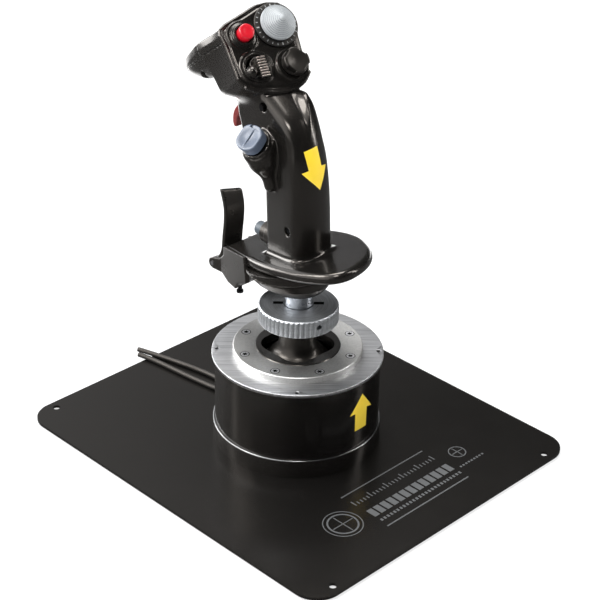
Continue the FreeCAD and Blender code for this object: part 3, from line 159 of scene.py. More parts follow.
def block(points, half, centre=(0, 0, 0), rounding=0.3):
    """A box with rounded edges."""
    q = np.abs(points - np.array(centre)) - np.array(half) + rounding
    return np.linalg.norm(np.maximum(q, 0), axis=1) + np.minimum(q.max(1), 0) - rounding


# ---- meshing of fields

CREASE = math.radians(40.0)

def lattice(axes):
    """Every combination of values along three axes."""
    return np.stack(np.meshgrid(*axes, indexing="ij"), -1).reshape(-1, 3)


def sample(field, place, low, high, step):
    """Field values on a grid; only blocks near the surface are worked out finely."""
    side = 8
    counts = np.ceil((np.array(high) - np.array(low)) / (step * side)).astype(int)
    values = np.full(counts * side + 1, 1e3)
    centres = lattice([low[i] + step * side * (np.arange(counts[i]) + 0.5) for i in range(3)])
    coarse = field(carried(centres, place))
    reach = step * side * 0.95 + 1.5
    where = lattice([np.arange(c) for c in counts])
    ticks = lattice([np.arange(side + 1)] * 3)
    for spot in where[coarse < -reach]:
        a = spot * side
        values[a[0]:a[0] + side + 1, a[1]:a[1] + side + 1, a[2]:a[2] + side + 1] = -1e3
    near = where[np.abs(coarse) <= reach]
    batch = 400
    for first in range(0, len(near), batch):
        spots = near[first:first + batch]
        index = (spots[:, None, :] * side + ticks[None]).reshape(-1, 3)
        values[tuple(index.T)] = field(carried(np.array(low) + step * index, place))
    return values


def surface(values, low, step):
    """Surface nets: one vertex in each cell the surface crosses, one quad per crossed edge."""
    inside = values < 0
    cells = np.array(values.shape) - 1
    total = np.zeros(int(np.prod(cells)) * 3)
    number = np.zeros(int(np.prod(cells)))
    crossings = []
    for axis in range(3):
        head = [slice(None)] * 3
        tail = [slice(None)] * 3
        head[axis], tail[axis] = slice(0, -1), slice(1, None)
        starts = np.argwhere(inside[tuple(head)] != inside[tuple(tail)])
        a = values[tuple(starts.T)]
        after = starts.copy()
        after[:, axis] += 1
        b = values[tuple(after.T)]
        spot = starts.astype(float)
        spot[:, axis] += np.clip(a / (a - b), 0.02, 0.98)
        u, v = (axis + 1) % 3, (axis + 2) % 3
        ring = []
        keep = np.ones(len(starts), bool)
        for du, dv in ((0, 0), (-1, 0), (-1, -1), (0, -1)):
            cell = starts.copy()
            cell[:, u] += du
            cell[:, v] += dv
            keep &= np.all((cell >= 0) & (cell < cells), axis=1)
            ring.append(cell)
        ring = [cell[keep] for cell in ring]
        flat = [np.ravel_multi_index(cell.T, cells) for cell in ring]
        for ids in flat:
            np.add.at(number, ids, 1)
            for i in range(3):
                np.add.at(total, ids * 3 + i, spot[keep][:, i])
        crossings.append((flat, a[keep] < 0))
    used = np.flatnonzero(number)
    order = np.full(len(number), -1)
    order[used] = np.arange(len(used))
    points = total.reshape(-1, 3)[used] / number[used][:, None]
    quads = []
    for flat, outward in crossings:
        ids = np.stack([order[ids] for ids in flat], 1)
        ids[~outward] = ids[~outward][:, ::-1]
        quads.append(ids)
    return np.array(low) + step * points, np.concatenate(quads)


def slopes(field, points, nudge):
    """Gradient of a field by central differences."""
    return np.stack([(field(points + offset) - field(points - offset)) / (2 * nudge)
                     for offset in np.eye(3) * nudge], 1)


def settle(points, field, place, step):
    """Pull the vertices onto the zero level along its gradient."""
    forward = np.array(place, float)
    for _ in range(4):
        here = carried(points, place)
        slope = slopes(field, here, step * 0.15)
        strength = np.maximum((slope * slope).sum(1), 0.05)
        move = np.clip(field(here) / strength, -0.5 * step, 0.5 * step)[:, None] * slope
        points = (here - move - forward[:3, 3]) @ forward[:3, :3]
    return points


def cut_off(mesh, point, normal):
    """Cut a mesh by a plane, drop the side the normal points to and cap the cut."""
    shape = bmesh.new()
    shape.from_mesh(mesh)
    geometry = shape.verts[:] + shape.edges[:] + shape.faces[:]
    bmesh.ops.bisect_plane(shape, geom=geometry, dist=1e-7, plane_co=point, plane_no=normal,
                           clear_outer=True)
    rim = [edge for edge in shape.edges if edge.is_boundary]
    bmesh.ops.holes_fill(shape, edges=rim, sides=0)
    shape.to_mesh(mesh)
    shape.free()


def sculpt(name, field, place, low, high, step, body, finish, stands_for=(), cuts=()):
    """A closed smooth mesh of a field, cut by planes, riding on a body."""
    points, quads = surface(sample(field, place, low, high, step), low, step)
    points = settle(points, field, place, step)
    mesh = bpy.data.meshes.new(name)
    mesh.from_pydata((carried(points, place) * MM).tolist(), [], quads.tolist())
    mesh.update()
    for point, normal in cuts:
        cut_off(mesh, Vector(point) * MM, Vector(normal))
    finish_piece(name, mesh, body, finish, stands_for)


def finish_piece(name, mesh, body, finish, stands_for=()):
    """Shade a mesh, give it its material and let it ride on a body."""
    mesh.polygons.foreach_set("use_smooth", [True] * len(mesh.polygons))
    thing = bpy.data.objects.new(name, mesh)
    bpy.context.scene.collection.objects.link(thing)
    sharpen(mesh)
    mesh.materials.append(FINISH[finish])
    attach(thing, body)
    if stands_for:
        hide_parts(*stands_for)


def piece(name, shape, body, finish, stands_for=()):
    """Turn a bmesh into a finished piece."""
    mesh = bpy.data.meshes.new(name)
    shape.to_mesh(mesh)
    shape.free()
    finish_piece(name, mesh, body, finish, stands_for)


def sharpen(mesh):
    """Keep crisp edges crisp and let the rest shade smoothly."""
    shape = bmesh.new()
    shape.from_mesh(mesh)
    for edge in shape.edges:
        if len(edge.link_faces) == 2 and edge.calc_face_angle(0.0) > CREASE:
            edge.smooth = False
    shape.to_mesh(mesh)
    shape.free()


# ---- materials

class Nodes:
    """Short forms for building a node tree."""

    def __init__(self, owner):
        owner.use_nodes = True
        self.tree = owner.node_tree
        self.tree.nodes.clear()

    def feed(self, value, socket):
        """Link an output to an input, or set a plain value; None leaves the input alone."""
        if isinstance(value, bpy.types.NodeSocket):
            self.tree.links.new(value, socket)
        elif value is not None:
            socket.default_value = value

    def add(self, kind, *values, **settings):
        """A node with settings, and with values fed to its first inputs."""
        made = self.tree.nodes.new(kind)
        for key, value in settings.items():
            setattr(made, key, value)
        for value, socket in zip(values, made.inputs):
            self.feed(value, socket)
        return made


class Recipe(Nodes):
    """A node material around one Principled shader."""

    def __init__(self, name):
        self.material = bpy.data.materials.new(name)
        super().__init__(self.material)
        self.shader = self.add("ShaderNodeBsdfPrincipled")
        self.output = self.add("ShaderNodeOutputMaterial", self.shader.outputs[0])
        self.place = self.add("ShaderNodeTexCoord").outputs["Object"]

    def put(self, values):
        for socket, value in values.items():
            self.feed(value, self.shader.inputs[socket])

    def noise(self, scale, detail=4.0, stretch=(1, 1, 1), source=None):
        mapped = self.add("ShaderNodeMapping", source or self.place, None, None, stretch).outputs[0]
        return self.add("ShaderNodeTexNoise", mapped, None, scale, detail).outputs["Fac"]

    def span(self, source, low, high, from_low=0.3, from_high=0.7):
        return self.add("ShaderNodeMapRange", source, from_low, from_high, low, high).outputs[0]

    def mix(self, share, first, second):
        made = self.add("ShaderNodeMix", share, data_type="RGBA")
        for socket, value in ((made.inputs[6], first), (made.inputs[7], second)):
            self.feed((*value, 1.0) if isinstance(value, tuple) else value, socket)
        return made.outputs[2]

    def math(self, operation, *values):
        return self.add("ShaderNodeMath", *values, operation=operation).outputs[0]

    def bump(self, source, depth, strength=1.0):
        made = self.add("ShaderNodeBump")
        for socket, value in (("Distance", depth), ("Strength", strength), ("Height", source)):
            self.feed(value, made.inputs[socket])
        self.put({"Normal": made.outputs[0]})


DARK = 0.012


def paint(name, colour, rough, grain, depth, wear=0.0, coat=0.0, worn=(0.1, 0.1, 0.1), sheen=0.5):
    """Painted or moulded surface: cloudy gloss, fine grain and slightly paler worn edges."""
    recipe = Recipe(name)
    cloud = recipe.noise(45.0, 5.0)
    base = recipe.mix(recipe.span(cloud, 0.0, 1.0), colour, tuple(c * 0.82 for c in colour))
    if wear:
        edges = recipe.add("ShaderNodeNewGeometry").outputs["Pointiness"]
        edges = recipe.span(edges, 0.0, 1.0, 0.51, 0.58)
        base = recipe.mix(recipe.span(edges, 0.0, wear, 0.0, 1.0), base, worn)
    recipe.put({"Base Color": base, "Roughness": recipe.span(cloud, *rough), "Coat Weight": coat,
                "Coat Roughness": 0.12, "Specular IOR Level": sheen})
    if max(colour) < DARK:
        recipe.put({"Specular Tint": (1.0, 0.9, 0.8, 1.0)})
    recipe.bump(recipe.noise(grain, 3.0), depth)
    return recipe.material


def bare(recipe, colour, shade, tint, gloss, marks, anisotropy, depth, strength):
    """Metal whose colour and gloss follow its tool marks."""
    base = recipe.mix(tint, colour, tuple(c * shade for c in colour))
    recipe.put({"Base Color": base, "Metallic": 1.0, "Roughness": gloss, "Anisotropic": anisotropy})
    recipe.bump(marks, depth, strength)
    return recipe.material


def metal(name, colour, rough=(0.2, 0.35), grain=700.0):
    """Plain machined metal."""
    recipe = Recipe(name)
    marks = recipe.noise(grain, 6.0)
    gloss = recipe.span(recipe.noise(60.0, 4.0), *rough)
    return bare(recipe, colour, 0.8, recipe.span(marks, 0.0, 1.0), gloss, marks, 0.0, 1e-5, 1.0)


def spun_metal(name, colour, rough, rings, anisotropy):
    """Turned aluminium: concentric tool marks around the base axis."""
    recipe = Recipe(name)
    x, y, z = recipe.add("ShaderNodeSeparateXYZ", recipe.place).outputs
    squares = recipe.math("ADD", recipe.math("MULTIPLY", x, x), recipe.math("MULTIPLY", y, y))
    polar = recipe.add("ShaderNodeCombineXYZ", recipe.math("SQRT", squares), recipe.math("ARCTAN2", y, x), z)
    marks = recipe.noise(1.0, 3.0, (rings, 1.6, rings * 0.3), polar.outputs[0])
    recipe.put({"Tangent": recipe.add("ShaderNodeTangent", direction_type="RADIAL", axis="Z").outputs[0]})
    gloss = recipe.span(marks, rough * 0.8, rough * 1.35)
    return bare(recipe, colour, 0.72, recipe.span(marks, 0.0, 1.0), gloss, marks, anisotropy, 2e-5, 0.5)


def streaked_metal(name, colour, along, rough, fineness=2600.0, anisotropy=0.6):
    """Brushed aluminium: long straight scratches along one level direction."""
    recipe = Recipe(name)
    turn = recipe.add("ShaderNodeVectorRotate", recipe.place, rotation_type="Z_AXIS")
    turn.inputs["Angle"].default_value = -math.atan2(along[1], along[0])
    marks = recipe.noise(1.0, 4.0, (fineness * 0.012, fineness, fineness * 0.2), turn.outputs[0])
    broad = recipe.noise(1.0, 3.0, (12.0, 420.0, 60.0), turn.outputs[0])
    both = recipe.math("MULTIPLY_ADD", broad, 0.45, recipe.span(marks, 0.0, 0.55))
    recipe.put({"Tangent": recipe.add("ShaderNodeCombineXYZ", *along).outputs[0]})
    gloss = recipe.span(marks, rough * 0.85, rough * 1.3)
    tint = recipe.span(both, 0.0, 1.0, 0.1, 0.8)
    return bare(recipe, colour, 0.42, tint, gloss, marks, anisotropy, 2e-5, 0.4)


BRUSHED_ALONG = (0.73, -0.68)

# Colour, gloss range, grain per metre, grain depth in metres, edge wear, coat, worn colour, sheen.
PAINTS = {
    "gloss_black": ((0.0075, 0.0069, 0.0062), (0.18, 0.21), 1400.0, 1.5e-6, 0.2, 0.2, (0.03, 0.03, 0.03)),
    "housing_black": ((0.0055, 0.0052, 0.0048), (0.16, 0.19), 1400.0, 1.5e-6, 0.0, 0.2),
    "satin_black": ((0.0085, 0.0079, 0.0072), (0.26, 0.32), 1200.0, 1e-5, 0.25, 0.05, (0.04, 0.04, 0.04)),
    # The next finish is painted shade: a near-black matte laid where slots, sockets and screw holes lie in
    # shade.
    "painted_shade_black": ((0.002, 0.002, 0.002), (0.6, 0.7), 1800.0, 5e-6, 0.0, 0.0, (0.01, 0.01, 0.01), 0.05),
    "plate_black": ((0.004, 0.0036, 0.0032), (0.22, 0.26), 2600.0, 1e-5, 0.05, 0.0, (0.04, 0.04, 0.04),
                    0.28),
    "matte_black": ((0.01, 0.01, 0.01), (0.36, 0.46), 1800.0, 2e-5, 0.3),
    "rubber": ((0.008, 0.008, 0.008), (0.42, 0.55), 1500.0, 2e-5, 0.1),
    "red": ((0.52, 0.005, 0.016), (0.26, 0.34), 1500.0, 1e-5, 0.2, 0.25, (0.85, 0.1, 0.12)),
    "trigger_red": ((0.16, 0.02, 0.018), (0.26, 0.36), 1500.0, 1e-5, 0.3, 0.1, (0.3, 0.08, 0.07)),
    "light_grey": ((0.36, 0.38, 0.39), (0.3, 0.38), 1500.0, 1e-5, 0.25, 0.0, (0.5, 0.51, 0.52)),
    # Painted shade for the grooves between the trim hat's ridges.
    "groove_shade_grey": ((0.13, 0.14, 0.145), (0.4, 0.5), 1500.0, 5e-6),
    "blue_grey": ((0.075, 0.095, 0.135), (0.28, 0.36), 1500.0, 1e-5, 0.3, 0.1, (0.2, 0.24, 0.3)),
    "slate": ((0.07, 0.085, 0.1), (0.32, 0.4), 1500.0, 1e-5, 0.2, 0.0, (0.2, 0.22, 0.25)),
    "acetal": ((0.55, 0.55, 0.52), (0.35, 0.45), 1200.0, 1e-5),
    "board": ((0.01, 0.09, 0.035), (0.3, 0.5), 500.0, 2e-5),
    "yellow": ((1.0, 0.7, 0.02), (0.4, 0.48), 1500.0, 5e-6, 0.1, 0.0, (0.95, 0.85, 0.3)),
    "print_grey": ((0.075, 0.078, 0.08), (0.4, 0.5), 1500.0, 5e-6),
    "print_white": ((0.42, 0.42, 0.42), (0.5, 0.6), 1500.0, 5e-6),
}
# Colour, gloss range, marks per metre.
METALS = {
    "disc_metal": ((0.56, 0.555, 0.54), (0.4, 0.46), 900.0),
    "rib_metal": ((0.5, 0.42, 0.38), (0.25, 0.35)),
    # Painted highlight: pale metal for the bright line along the black foot ring's edge.
    "edge_highlight_metal": ((0.45, 0.45, 0.45), (0.2, 0.28), 900.0),
    "screw_steel": ((0.75, 0.75, 0.76), (0.36, 0.46)),
    "steel": ((0.6, 0.6, 0.62), (0.2, 0.32)),
    "dark_steel": ((0.03, 0.03, 0.032), (0.3, 0.42)),
    "bronze": ((0.6, 0.38, 0.17), (0.3, 0.45)),
}

FINISH = {name: paint(name, *values) for name, values in PAINTS.items()}
FINISH.update((name, metal(name, *values)) for name, values in METALS.items())
FINISH["flange_metal"] = streaked_metal("flange_metal", (0.97, 0.97, 0.98), BRUSHED_ALONG, 0.38)
FINISH["nut_metal"] = spun_metal("nut_metal", (0.66, 0.68, 0.7), 0.46, 1500.0, 0.3)
FINISH["neck_metal"] = spun_metal("neck_metal", (0.5, 0.52, 0.55), 0.3, 1500.0, 0.5)

NODES_OF = {
    "plate_black": "base_plate",
    "rubber": "plate_feet cable_gland usb_cable link_cable",
    "dark_steel": "plate_screws paddle_stop_screw grip_screws",
    "gloss_black": "base_floor gate_ring rest_cup hand_rest grip_left_shell grip_right_shell head_shell"
                   " face_panel nose_cap side_pod display_collar",
    "housing_black": "base_housing",
    "satin_black": "stick_dome paddle_bracket release_collar steering_collar paddle_lever",
    "matte_black": "trim_ring display_hat target_hat",
    # The flange screws take the painted shade finish so they read as dark holes.
    "painted_shade_black": "flange_screws",
    "flange_metal": "top_flange",
    "disc_metal": "cover_disc",
    "nut_metal": "locking_nut",
    "neck_metal": "gimbal_frame grip_neck",
    "steel": "cover_screws centering_spring gimbal_ring pitch_pins roll_pins stick_shaft spring_seat"
             " sensor_magnet stick_connector neck_screw paddle_pin trigger_pin",
    "bronze": "pitch_bushes roll_bushes",
    "board": "sensor_board main_board",
    "acetal": "trim_rocker display_rocker target_rocker side_rocker",
    "trigger_red": "trigger",
    "red": "release_button",
    "blue_grey": "steering_button side_hat",
    "light_grey": "trim_hat",
}


def finish_nodes():
    for finish, names in NODES_OF.items():
        for name in names.split():
            thing = frame["nodes"][name]
            thing.data.materials.clear()
            thing.data.materials.append(FINISH[finish])
            smooth_node(thing, name)


BEVELS = {"top_flange": 0.35, "base_housing": 0.25, "base_floor": 0.3}


def modify(thing, kind, **settings):
    made = thing.modifiers.new(kind.lower(), kind)
    for key, value in settings.items():
        setattr(made, key, value)


def smooth_node(thing, name):
    """Shade a CAD node smoothly between its sharp edges, without touching its vertices."""
    thing.data.polygons.foreach_set("use_smooth", [True] * len(thing.data.polygons))
    modify(thing, "WELD", merge_threshold=1e-5)
    if name in BEVELS:
        modify(thing, "BEVEL", width=BEVELS[name] * MM, segments=3, limit_method="ANGLE",
               angle_limit=math.radians(50))
        modify(thing, "WEIGHTED_NORMAL", mode="FACE_AREA", weight=100)
    else:
        modify(thing, "EDGE_SPLIT", split_angle=math.radians(30))


# ---- grip, head and hand rest

HEAD_OUTLINE = [
    (-3.4, 34.0), (-2.2, 26.0), (-1.2, 1.5), (1.5, -3.0), (9.5, -7.2), (19.0, -10.0), (28.7, -11.3),
    (37.5, -10.3), (45.0, -7.0), (50.5, -0.5), (50.6, 14.0), (51.4, 25.0), (53.0, 33.5), (51.0, 43.0),
    (45.5, 49.2), (37.0, 51.6), (29.0, 50.6), (17.8, 46.2), (2.0, 40.6), (-2.4, 38.0),
]
HEAD_MIDDLE = (25.0, 20.0)


def scaled_outline(scale):
    cx, cy = HEAD_MIDDLE
    return [(cx + (x - cx) * scale, cy + (y - cy) * scale) for x, y in HEAD_OUTLINE]


HEAD_CORE = scaled_outline(0.93)
HEAD_INSET = scaled_outline(0.89)
NOSE_LIFT, NOSE_FROM, NOSE_REACH, NOSE_HIGH = 39.0, 42.0, 27.0, 13.5


def head_field(points):
    """Prism behind the face that narrows into a bullet nose."""
    u, v, lift = local(points, HEAD).T
    depth = -lift
    swell = 5.6 * smooth_step(depth / 36.0) * smooth_step((30 - u) / 30.0) * smooth_step((v - 2.0) / 40.0)
    u, v = u + 0.8 * swell, v - 0.5 * swell
    prism = polygon(u, v, HEAD_CORE) - 1.8
    under = -(v - 1.0) * 0.8 + (depth - 29.0) * 0.6
    over = (v - 52.0) + 0.08 * np.maximum(depth - 30, 0)
    across = np.maximum(np.abs(u - 25.0) - 15.0, 0.0)
    upward = np.maximum(np.abs(v - NOSE_LIFT) - 5.0, 0.0)
    ahead = np.maximum(depth - NOSE_FROM, 0) / NOSE_REACH
    bullet = np.sqrt((across / 15.0) ** 2 + (upward / NOSE_HIGH) ** 2 + ahead ** 2)
    bullet = np.where(depth > 30, (bullet - 1.0) * 13.0, -20.0)
    body = blend_max(blend_max(prism, -depth, 1.6), under, 7.0)
    return blend_max(blend_max(body, over, 4.0), bullet, 4.0)


def lean(z):
    return 0.5 + 0.045 * (z - 149.0) + 0.0039 * np.maximum(z - 190.0, 0.0) ** 2


def grip_field(points):
    """Front flat, two flat flanks to the creases, a rounded back, and a bulge over the trigger."""
    x, y, z = points.T
    v = y - lean(z)
    bulge = 17.5 * smooth_step((z - 190.0) / 32.0) - 0.25 * np.maximum(z - 232.0, 0.0)
    front, flat, crease = 22.3 + bulge, 9.0, -9.5
    half = 17.3 - 0.9 * smooth_step((z - 175.0) / 30.0)
    tilt = (half - flat) / (front - crease)
    flank = (np.abs(x) - (half - (v - crease) * tilt)) / np.sqrt(1 + tilt * tilt)
    behind = np.minimum(v - crease, 0.0) / 9.8
    back = (np.sqrt((x / (half + 0.15)) ** 2 + behind ** 2 + 1e-9) - 1.0) * 11.0
    soft = 1.6 + 5.0 * smooth_step((z - 206.0) / 22.0)
    section = blend_max(blend_max(v - front, flank, 3.2), back, soft)
    shoulder = (z - (252.5 + 0.424 * y)) * 0.92
    across, upward, lift = local(points, HEAD).T
    right = smooth_step((across - 32.0) / 12.0)
    rise = (0.3 + 1.3 * right) * np.maximum(-11.5 - upward, 0.0)
    tuck = (lift + 0.8 - 2.6 * right - rise) * (0.95 - 0.4 * right)
    return blend_max(blend_max(section, shoulder, 9.0), tuck, 7.0 - 4.0 * right)


def pod_field(points):
    """Teardrop under the side hat, with a stepped collar around the hat's stem."""
    p = local(points, SIDE)
    mouth = disc(p, 11.4, -17.0, -8.3, 1.4)
    collar = disc(p, 10.2, -10.0, -5.3, 0.8)
    tip = capsule(points, (-16.0, 16.5, 208.0), (-14.6, 13.0, 194.0), 4.4)
    belly = ball(points, (-18.0, 17.0, 212.0), 8.8)
    drop = blend_min(blend_min(mouth, belly, 7.0), tip, 8.0)
    return np.maximum(np.minimum(drop, collar), -disc(p, 8.6, -7.6, 5.0, 0.4))


REST_CURVE = [
    (-20.4, 31.0), (-23.6, 22.0), (-26.7, 8.0), (-28.6, -10.0), (-28.8, -26.0), (-26.4, -40.5),
    (-22.4, -50.0), (-16.0, -55.6), (-8.0, -57.0), (1.0, -55.8), (10.5, -52.8), (20.0, -47.2),
    (29.0, -38.8), (36.4, -28.4), (42.6, -17.0), (45.8, -6.0), (46.8, 4.0), (46.0, 15.0),
    (43.0, 27.5), (37.0, 40.0), (28.5, 53.0),
]
REST_TONGUE = [(21.0, 61.0), (-10.2, 61.0)]


def spline(corners, per_side=3):
    """Open smooth curve through corners, as a finer list of corners."""
    made = []
    ends = [corners[0], *corners, corners[-1]]
    for i in range(len(corners) - 1):
        a, b, c, d = (np.array(ends[i + k], float) for k in range(4))
        for j in range(per_side):
            t = j / per_side
            made.append(tuple(0.5 * (2 * b + (c - a) * t + (2 * a - 5 * b + 4 * c - d) * t ** 2
                                     + (3 * b - a - 3 * c + d) * t ** 3)))
    made.append(corners[-1])
    return made


REST_OUTLINE = spline(REST_CURVE) + REST_TONGUE
REST_THICK = 8.0


def rest_field(points):
    """Broad plate with a round rim; the rim turns crisp along the tongue."""
    x, y, z = local(points, REST).T
    crisp = smooth_step((y - 24.0) / 10.0) * smooth_step((24.0 - x) / 8.0)
    return slab(polygon(x, y, REST_OUTLINE), z, -REST_THICK, 0.0, 3.7 - 3.3 * crisp)


def cup_field(points):
    """Bowl under the rest; it leans forward as it widens."""
    x, y, z = points.T
    levels = (118.0, 118.8, 121.5, 124.5, 129.5, 150.0)
    radius = np.interp(z, levels, (15.2, 18.0, 22.4, 26.0, 29.6, 30.2))
    ahead = np.interp(z, levels, (0.0, 0.4, 2.8, 5.4, 9.0, 9.0))
    side = (np.hypot(x, y - ahead) - radius) * 0.75
    lip = local(points, REST)[:, 2] + REST_THICK
    groove = np.hypot(z - 130.3, side) - 0.35
    return most(blend_max(side, 118.0 - z, 1.4), lip, -groove, 9.75 - np.hypot(x, y))


WALL_SIDE = [
    (8, 150), (60.3, 148), (60.6, 124), (66, 118.5), (73, 117), (76.2, 115.2), (77.2, 112.4),
    (76.0, 109.6), (73, 108.4), (62, 108.6), (54, 106.0), (43, 106.4), (39, 112.6), (22, 121), (8, 127),
]


def bracket_field(points):
    """Two walls under the tongue that carry the paddle's hinge."""
    x, y, z = points.T
    left = -12.4 - 0.3 * np.maximum(64.0 - y, 0.0)
    plan = np.maximum((left - x) * 0.957, x - 12.4)
    solid = blend_max(polygon(y, z, WALL_SIDE), plan, 0.9)
    across, ahead, lift = local(points, REST).T
    solid = blend_max(solid, lift, 0.5)
    outline = polygon(across, ahead, REST_OUTLINE)
    tongue = np.maximum(outline, -REST_THICK - 0.1 - lift) - 0.06
    channel = most(np.abs(x) - 9.6, 47.0 - y, -1.0)
    bore = np.hypot(y - HINGE[0], z - HINGE[1]) - PIN_BORE
    screw = np.hypot(x - STOP_SCREW[0], y - STOP_SCREW[1]) - PIN_BORE
    rim = outline + 0.3 - 1.5 * np.maximum(ahead - 30.0, 0.0)
    cup = np.hypot(x, y - 9.0) - 27.0
    return most(solid, -tongue, -channel, -bore, -screw, rim, -cup, 0.1 - cup_field(points))


STOP_SCREW = (-13.0, 44.0)
HINGE = (73.0, 112.5)
PIN_BORE = 1.55
PADDLE_SPINE = [HINGE, (69.0, 118.0), (66.5, 124.0), (65.5, 134.0), (64.0, 147.0), (64.3, 158.0),
                (68.2, 171.0)]


def paddle_outline():
    """Side view of the lever: its spine made 3 mm thick."""
    spine = spline(PADDLE_SPINE, 4)
    front, back = [], []
    for i, (y, z) in enumerate(spine):
        ahead = np.array(spine[min(i + 1, len(spine) - 1)]) - np.array(spine[max(i - 1, 0)])
        ahead = ahead / np.linalg.norm(ahead)
        front.append((y + 1.5 * ahead[1], z - 1.5 * ahead[0]))
        back.append((y - 1.5 * ahead[1], z + 1.5 * ahead[0]))
    return front + back[::-1]


PADDLE_SIDE = paddle_outline()


def paddle_field(points):
    x, y, z = points.T
    blade = slab(polygon(y, z, PADDLE_SIDE), x, -8.7, 8.7, 0.8)
    blade = blend_max(blade, (z - 169.9 + (x + 8.7) * 0.235) * 0.97, 1.2)
    reach = np.hypot(y - HINGE[0], z - HINGE[1])
    barrel = slab(reach - 3.6, x, -8.7, 8.7, 0.5)
    return np.maximum(blend_min(blade, barrel, 1.5), PIN_BORE - reach)


def casting(points):
    """Grip, head, pod and hand rest as one smoothly blended form."""
    behind_face = -local(points, HEAD)[:, 2]
    soft = 1.0 + 6.5 * smooth_step((behind_face - 2.0) / 9.0)
    grip = blend_min(grip_field(points), head_field(points), soft)
    grip = blend_min(grip, pod_field(points), 2.5)
    for deep, y, z in ((-14.6, -4.0, 166.8), (-11.5, 22.5, 245.0)):
        grip = blend_max(grip, -capsule(points, (-40.0, y, z), (deep, y, z), 3.1), 0.8)
    return blend_min(grip, rest_field(points), 4.5)


REST_UP = REST.to_3x3() @ Vector((0, 0, 1))
SEAM = REST @ Vector((0, 0, 4.4))
REST_UNDER = REST @ Vector((0, 0, -REST_THICK))
FACE_OUT = HEAD.to_3x3() @ Vector((0, 0, 1))
NECK_POINT = HEAD @ Vector((25.0, -12.6, 0.0))
NECK_OUT = (HEAD.to_3x3() @ Vector((0.0, 0.94, 0.34))).normalized()
NOSE_POINT = HEAD @ Vector((0, 0, -40.0))


def seam_line(points, base):
    """Fine parting line along the head's left side, from the face to the tip of the nose."""
    x, y, z = local(points, HEAD).T
    trench = most(np.abs(y - 28.4 + 0.1 * z) - 0.5, z + 2.6, x - 24.0)
    return np.maximum(base, -np.maximum(trench, np.abs(base) - 0.6))


LIP = spline([(3.0, -4.2), (10.0, -7.6), (19.0, -10.2), (28.7, -11.4), (37.0, -10.4), (44.5, -7.2),
              (50.0, -1.5)])


def detailed_head(points):
    """The casting with the face's lip, groove, seats and wells."""
    p = local(points, HEAD)
    base = seam_line(points, casting(points))
    border = polygon(*p.T[:2], HEAD_INSET)
    away = np.hypot(np.maximum(border, -3.0), p[:, 2] - 0.2)
    base = blend_max(base, 0.75 - away, 0.8)
    bead = np.full(len(p), 1e3)
    for start, end in zip(LIP, LIP[1:]):
        bead = np.minimum(bead, capsule(p, (*start, 0.0), (*end, 0.0), 1.0))
    base = blend_min(base, bead, 1.2)
    for place, radius, height in ((DISPLAY, 11.6, 0.9), (TARGET, 11.2, 1.0), (RELEASE, 10.6, 0.7)):
        base = blend_min(base, disc(local(points, place), radius, -1.0, height, 0.5), 1.2)
    for place, radius in ((TRIM, 8.2), (DISPLAY, 7.6), (TARGET, 7.6), (RELEASE, 5.7)):
        base = np.maximum(base, -disc(local(points, place), radius, -7.0, 5.0, 0.3))
    return base


def detailed_nose(points):
    """The nose with its seam and the slot low on its left side."""
    x, y, z = local(points, HEAD).T
    rise = np.abs(y - 25.2 - 0.24 * (z + 44.0)) - 0.9
    slot = most(rise, np.abs(z + 46.8) - 4.8, x - 7.0)
    return np.maximum(seam_line(points, casting(points)), -slot)


FRONT_BUTTON = 149.0


def detailed_grip(points):
    """The casting with the collar of the front button let into it."""
    x, y, z = points.T
    front = np.hypot(x, z - FRONT_BUTTON)
    return np.maximum(casting(points), -slab(front - 5.3, y, 11.0, 60.0, 0.2))


def build_casting():
    black, satin = "gloss_black", "satin_black"
    down = -REST_UP
    sculpt("hand_rest_skin", casting, REST, (-34, -62, -12), (52, 66, 7), 0.8, "stick", black,
           ("hand_rest",), [(SEAM, REST_UP)])
    for side, also in ((1, ("side_pod",)), (-1, ())):
        name = "grip_left" if side > 0 else "grip_right"
        sculpt(f"{name}_skin", detailed_grip, WORLD, (-40, -30, 130), (30, 70, 272), 0.75, "stick", black,
               (f"{name}_shell", *also), [(SEAM, down), ((0, 0, 0), (side, 0, 0)), (NECK_POINT, NECK_OUT)])
    sculpt("head_skin", detailed_head, HEAD, (-14, -34, -52), (64, 62, 14), 0.42, "stick", black,
           ("head_shell", "face_panel"), [(NECK_POINT, -NECK_OUT), (NOSE_POINT, -FACE_OUT)])
    sculpt("nose_skin", detailed_nose, HEAD, (-14, -34, -80), (64, 62, -30), 0.6, "stick", black,
           ("nose_cap",), [(NOSE_POINT, FACE_OUT), (NECK_POINT, -NECK_OUT)])
    sculpt("rest_cup_skin", cup_field, WORLD, (-34, -26, 116), (34, 44, 146), 0.6, "stick", black,
           ("rest_cup",), [(REST_UNDER, REST_UP)])
    sculpt("bracket_skin", bracket_field, WORLD, (-33, 6, 101), (14, 79, 142), 0.5, "stick", satin,
           ("paddle_bracket",))
    sculpt("paddle_skin", paddle_field, WORLD, (-10, 60, 107), (10, 79, 173), 0.5, "paddle", satin,
           ("paddle_lever",))


# ---- controls

def circle(shape, place, radius, height, count, x=0.0, y=0.0):
    """A ring of new vertices around a local axis."""
    angles = [2 * math.pi * i / count for i in range(count)]
    return [shape.verts.new(place @ Vector((x + radius * math.cos(a), y + radius * math.sin(a), height)) * MM)
            for a in angles]


def join_rings(shape, pairs):
    """Faces between neighbouring rings; a ring of one vertex is a pole."""
    for first, second in pairs:
        count = max(len(first), len(second))
        for i in range(count):
            j = (i + 1) % count
            if len(first) == 1:
                shape.faces.new((first[0], second[j], second[i]))
            elif len(second) == 1:
                shape.faces.new((first[i], first[j], second[0]))
            else:
                shape.faces.new((first[i], first[j], second[j], second[i]))


